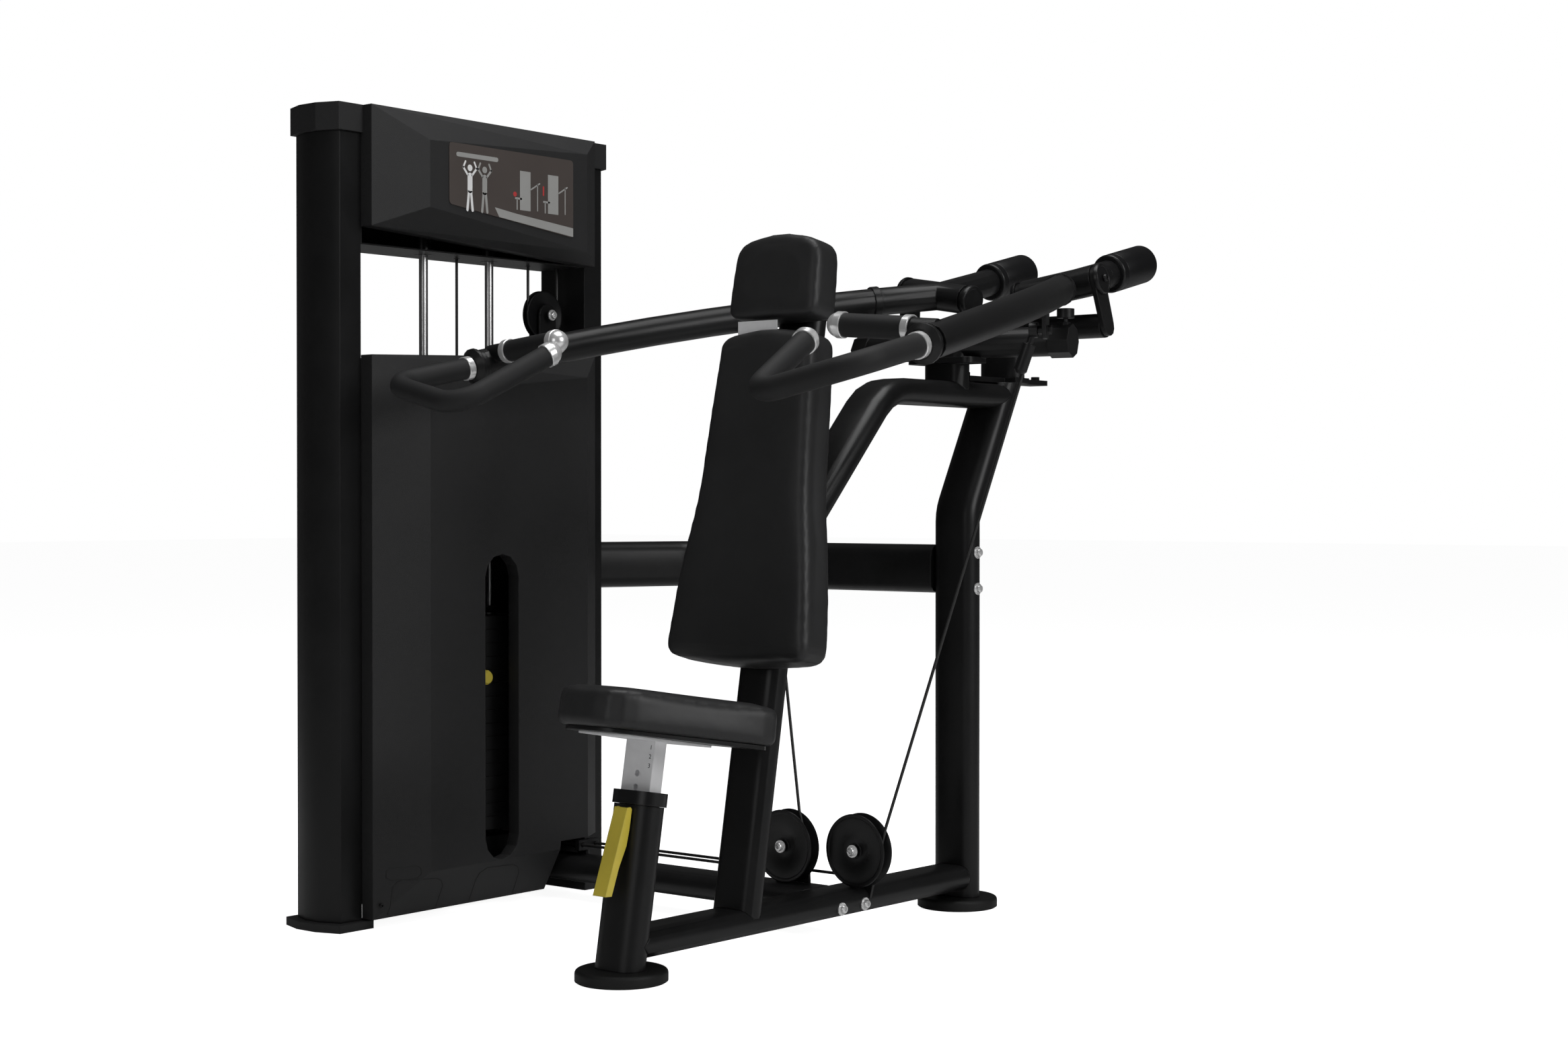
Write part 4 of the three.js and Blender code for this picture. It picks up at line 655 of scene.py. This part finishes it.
for y in GUIDE_RODS_Y:
    outside = [(0.0185, 0), (0.0185, 0.004), (0.0165, 0.006), (0.0165, 0.042)]
    profile = [(ROD_RADIUS, 0), *outside, (ROD_RADIUS, 0.042)]
    mesh = lathe("bushing", profile, (TOWER_X, y, BUSHING_Z), (0, 0, 1), 48)
    piece("rod_bushing_" + str(round(y * 1000)), mesh, smooth_plastic, "root")
    outside = [(0.018, 0), (0.02, 0.003), (0.02, 0.011), (0.018, 0.014)]
    profile = [(ROD_RADIUS, 0), *outside, (ROD_RADIUS, 0.014)]
    mesh = lathe("bump_ring", profile, (TOWER_X, y, BUMP_RING_Z), (0, 0, 1), 48)
    piece("bump_ring_" + str(round(y * 1000)), mesh, foot_rubber, "lifted_stack")

SIGN_X = -0.6712
SIGN_ACROSS = (0, 1, 0)
UP = (0, 0, 1)


def sign(name, corners, material, level=0):
    """A flat printed shape on the placard."""
    mesh = outline_plate(name, corners, (SIGN_X + level * 0.0002, 0, 0), SIGN_ACROSS, UP, 0.0002)
    piece(name, mesh, material, "root")


def circle(y, z, radius, count=28):
    turns = [2 * math.pi * i / count for i in range(count)]
    return [(y + radius * math.cos(t), z + radius * math.sin(t)) for t in turns]


def bar_shape(y0, z0, y1, z1, width):
    """A stroke with round ends."""
    turn = math.atan2(z1 - z0, y1 - y0)
    ends = []
    for (y, z), start in (((y0, z0), turn + math.pi / 2), ((y1, z1), turn - math.pi / 2)):
        turns = [start + math.pi * i / 8 for i in range(9)]
        ends += [(y + width / 2 * math.cos(t), z + width / 2 * math.sin(t)) for t in turns]
    return ends


SIGN_BAND = ((0.352, 1.4055), (0.5635, 1.383), (0.5635, 1.401), (0.40, 1.4165), (0.34, 1.424))
sign("sign_band", SIGN_BAND, grey_print)
sign("sign_heading", bar_shape(0.24, 1.52, 0.345, 1.52, 0.009), grey_print)
for i, (y, material) in enumerate(((0.272, white_print), (0.312, grey_print))):
    sign("person_head_" + str(i), circle(y, 1.496, 0.0065), material)
    strokes = (
        (y, 1.48, y, 1.452, 0.013),
        (y - 0.006, 1.482, y - 0.018, 1.496, 0.0045),
        (y - 0.018, 1.496, y - 0.012, 1.508, 0.004),
        (y + 0.006, 1.482, y + 0.018, 1.496, 0.0045),
        (y + 0.018, 1.496, y + 0.012, 1.508, 0.004),
        (y - 0.003, 1.448, y - 0.007, 1.412, 0.006),
        (y + 0.003, 1.448, y + 0.007, 1.412, 0.006),
    )
    for k, stroke in enumerate(strokes):
        sign(f"person_{i}_{k}", bar_shape(*stroke), material)
for i, y in enumerate((0.41, 0.49)):
    tower = [(y, 1.425), (y + 0.03, 1.425), (y + 0.03, 1.505), (y, 1.505)]
    sign("machine_tower_" + str(i), tower, grey_print)
    for k, stroke in enumerate(
        (
            (y + 0.032, 1.47, y + 0.056, 1.484, 0.003),
            (y + 0.05, 1.482, y + 0.05, 1.428, 0.0025),
            (y + 0.004, 1.448, y - 0.012, 1.448, 0.004),
            (y - 0.008, 1.446, y - 0.008, 1.426, 0.003),
        )
    ):
        sign(f"machine_{i}_{k}", bar_shape(*stroke), grey_print)
sign("adjust_mark", circle(0.396, 1.456, 0.005), red_print)
sign("arrow_mark", bar_shape(0.477, 1.478, 0.477, 1.462, 0.004), red_print)

# Plate numbers seen through the slot, one step for each plate
for i in range(PLATE_COUNT):
    at = (-0.7446, 0.34, FIRST_PLATE_Z + (i + 0.47) * PLATE_PITCH)
    body = "root" if i < PLATES_AT_REST else "lifted_stack"
    label = str(5 * (PLATE_COUNT - i))
    figure(f"plate_mark_{i}", label, at, SIGN_ACROSS, UP, 0.013, white_print, body)

# Lines pressed into the sloping foot of the lower cover, drawn near-black as painted shade in the grooves,
# and its fixing screw
ARCH_LEFT = (
    (0.084, 0.026),
    (0.087, 0.06),
    (0.09, 0.08),
    (0.1, 0.09),
    (0.113, 0.092),
    (0.188, 0.087),
    (0.204, 0.08),
    (0.212, 0.069),
    (0.211, 0.026),
)
ARCH_RIGHT = (
    (0.3, 0.026),
    (0.301, 0.069),
    (0.306, 0.083),
    (0.324, 0.092),
    (0.395, 0.09),
    (0.413, 0.083),
    (0.421, 0.071),
    (0.422, 0.026),
)
OVAL = (
    (0.085, 0.118),
    (0.139, 0.118),
    (0.147, 0.112),
    (0.148, 0.1),
    (0.139, 0.093),
    (0.085, 0.094),
    (0.077, 0.099),
    (0.077, 0.112),
    (0.085, 0.118),
)
cover_mesh = nodes["lower_cover"].data
cover_faces = [face.vertices for face in cover_mesh.polygons]
cover_tree = BVHTree.FromPolygons([v.co for v in cover_mesh.vertices], cover_faces)


def on_cover(y, z):
    """The point of the lower cover's outer face at this depth and height."""
    return cover_tree.ray_cast(Vector((0, y, z)), Vector((-1, 0, 0)))[0]


for name, corners in (("arch_left", ARCH_LEFT), ("arch_right", ARCH_RIGHT), ("oval_mark", OVAL)):
    line = []
    for (y0, z0), (y1, z1) in zip(corners, corners[1:]):
        line += [on_cover(y0 + (y1 - y0) * k / 6, z0 + (z1 - z0) * k / 6) for k in range(6)]
    line.append(on_cover(*corners[-1]))
    # The pressed lines' near-black colour is painted groove shade
    piece(name, tube(name, line, 0.0009, 2), groove_shade_and_print, "root")
bolt("cover_screw", on_cover(0.066, 0.047), (0.93, -0.36, 0), "root", 0.004, smooth_plastic, washer=False)

# The light plate between the head and back cushions, and the seat stem's numbers
gap = [(-0.075, 1.13), (0.02, 1.13), (0.02, 1.168), (-0.075, 1.168)]
mesh = outline_plate("gap_plate", gap, (0, 0.4, 0), (1, 0, 0), UP, 0.002)
piece("gap_plate", mesh, silver, "root")


POST_UP = Vector((0, math.sin(POST_LEAN), math.cos(POST_LEAN)))
STEM_FACE = Vector((0.026, 0.0478, 0.403))
for i in range(3):
    at = STEM_FACE - POST_UP * 0.016 * i
    figure(f"stem_mark_{i}", str(i + 1), at, (1, 0, 0), POST_UP, 0.011, groove_shade_and_print, "seat")


# ---------------------------------------------------------------- fasteners

for i, (y, z) in enumerate(((0.556, 0.057), (0.627, 0.058))):
    bolt(f"rail_bolt_{i}", (BASE_SIDE_X, y, z), (1, 0, 0), "root", 0.0085)
for i, z in enumerate((0.727, 0.653)):
    bolt(f"upright_bolt_{i}", (BASE_SIDE_X, 1.003, z), (1, 0, 0), "root", 0.0085)
for letter, (x, y, z) in PULLEYS.items():
    bolt("pulley_bolt_" + letter, (x, y - 0.0208, z), (0, -1, 0), "root", 0.0085)
bolt("block_bolt", (TOWER_X + 0.0295, BLOCK_WHEEL_Y, BLOCK_WHEEL_Z), (1, 0, 0), "pulley_block", 0.008)
for name, side in SIDES:
    outer, inner = mirrored(PIVOT[0], side), mirrored(PIVOT[1], side)
    axis = (outer - inner).normalized()
    bolt(name + "_cap_screw", outer - axis * 0.0015, axis, "root", 0.0075, smooth_plastic, washer=False)


# ---------------------------------------------------------------- stage, light and camera

FLOOR_REACH = 40
FLOOR_Z = -0.0005
floor_mesh = bpy.data.meshes.new("floor")
corners = [(x * FLOOR_REACH, y * FLOOR_REACH, FLOOR_Z) for x, y in ((-1, -1), (1, -1), (1, 1), (-1, 1))]
floor_mesh.from_pydata(corners, [], [(0, 1, 2, 3)])
floor = bpy.data.objects.new("floor", floor_mesh)
bpy.context.collection.objects.link(floor)
pale = surface("pale_floor", (0.86, 0.86, 0.86), 0.7, variation=0.01, grain=300, bump=0.02)
glow = pale.node_tree
seen = new_node(glow, "LightPath")
lift = new_node(glow, "Math")
lift.operation = "MULTIPLY"
lift.inputs[1].default_value = 0.93
link(
    glow,
    (seen.outputs["Is Camera Ray"], lift.inputs[0]),
    (lift.outputs[0], glow.nodes["Principled BSDF"].inputs["Emission Strength"]),
)
glow.nodes["Principled BSDF"].inputs["Emission Color"].default_value = (1, 1, 1, 1)
floor_mesh.materials.append(pale)

world = bpy.data.worlds.new("studio")
bpy.context.scene.world = world
world.use_nodes = True
sky = world.node_tree
ray = new_node(sky, "LightPath")
strength = new_node(sky, "Mix")
strength.inputs[2].default_value = 0.055
strength.inputs[3].default_value = 1.0
background = sky.nodes["Background"]
background.inputs["Color"].default_value = (1, 1, 1, 1)
link(
    sky,
    (ray.outputs["Is Camera Ray"], strength.inputs[0]),
    (strength.outputs[0], background.inputs["Strength"]),
)


def lamp(name, at, target, size, power):
    light = bpy.data.lights.new(name, "AREA")
    light.energy = power
    light.size = size
    obj = bpy.data.objects.new(name, light)
    obj.matrix_world = facing(at, Vector(at) - Vector(target))
    bpy.context.collection.objects.link(obj)


AIM = (-0.2, 0.5, 0.8)
lamp("key_light", (5.2, 0.6, 3.0), AIM, 2.6, 130)
lamp("front_light", (0.6, -5.2, 2.2), AIM, 2.4, 34)
lamp("top_light", (0.2, 0.4, 5.0), AIM, 3.0, 130)

camera = bpy.data.cameras.new("camera")
camera.lens = 54.93
camera.sensor_width = 36
eye = bpy.data.objects.new("camera", camera)
turn, dip = math.radians(39.56), math.radians(0.639)
gaze = Vector((-math.sin(turn) * math.cos(dip), math.cos(turn) * math.cos(dip), -math.sin(dip)))
aimed = gaze.to_track_quat("-Z", "Y").to_matrix().to_4x4()
eye.matrix_world = Matrix.Translation((2.8539, -3.0122, 0.8325)) @ aimed
bpy.context.collection.objects.link(eye)
bpy.context.scene.camera = eye
bpy.context.scene.view_settings.view_transform = "Standard"
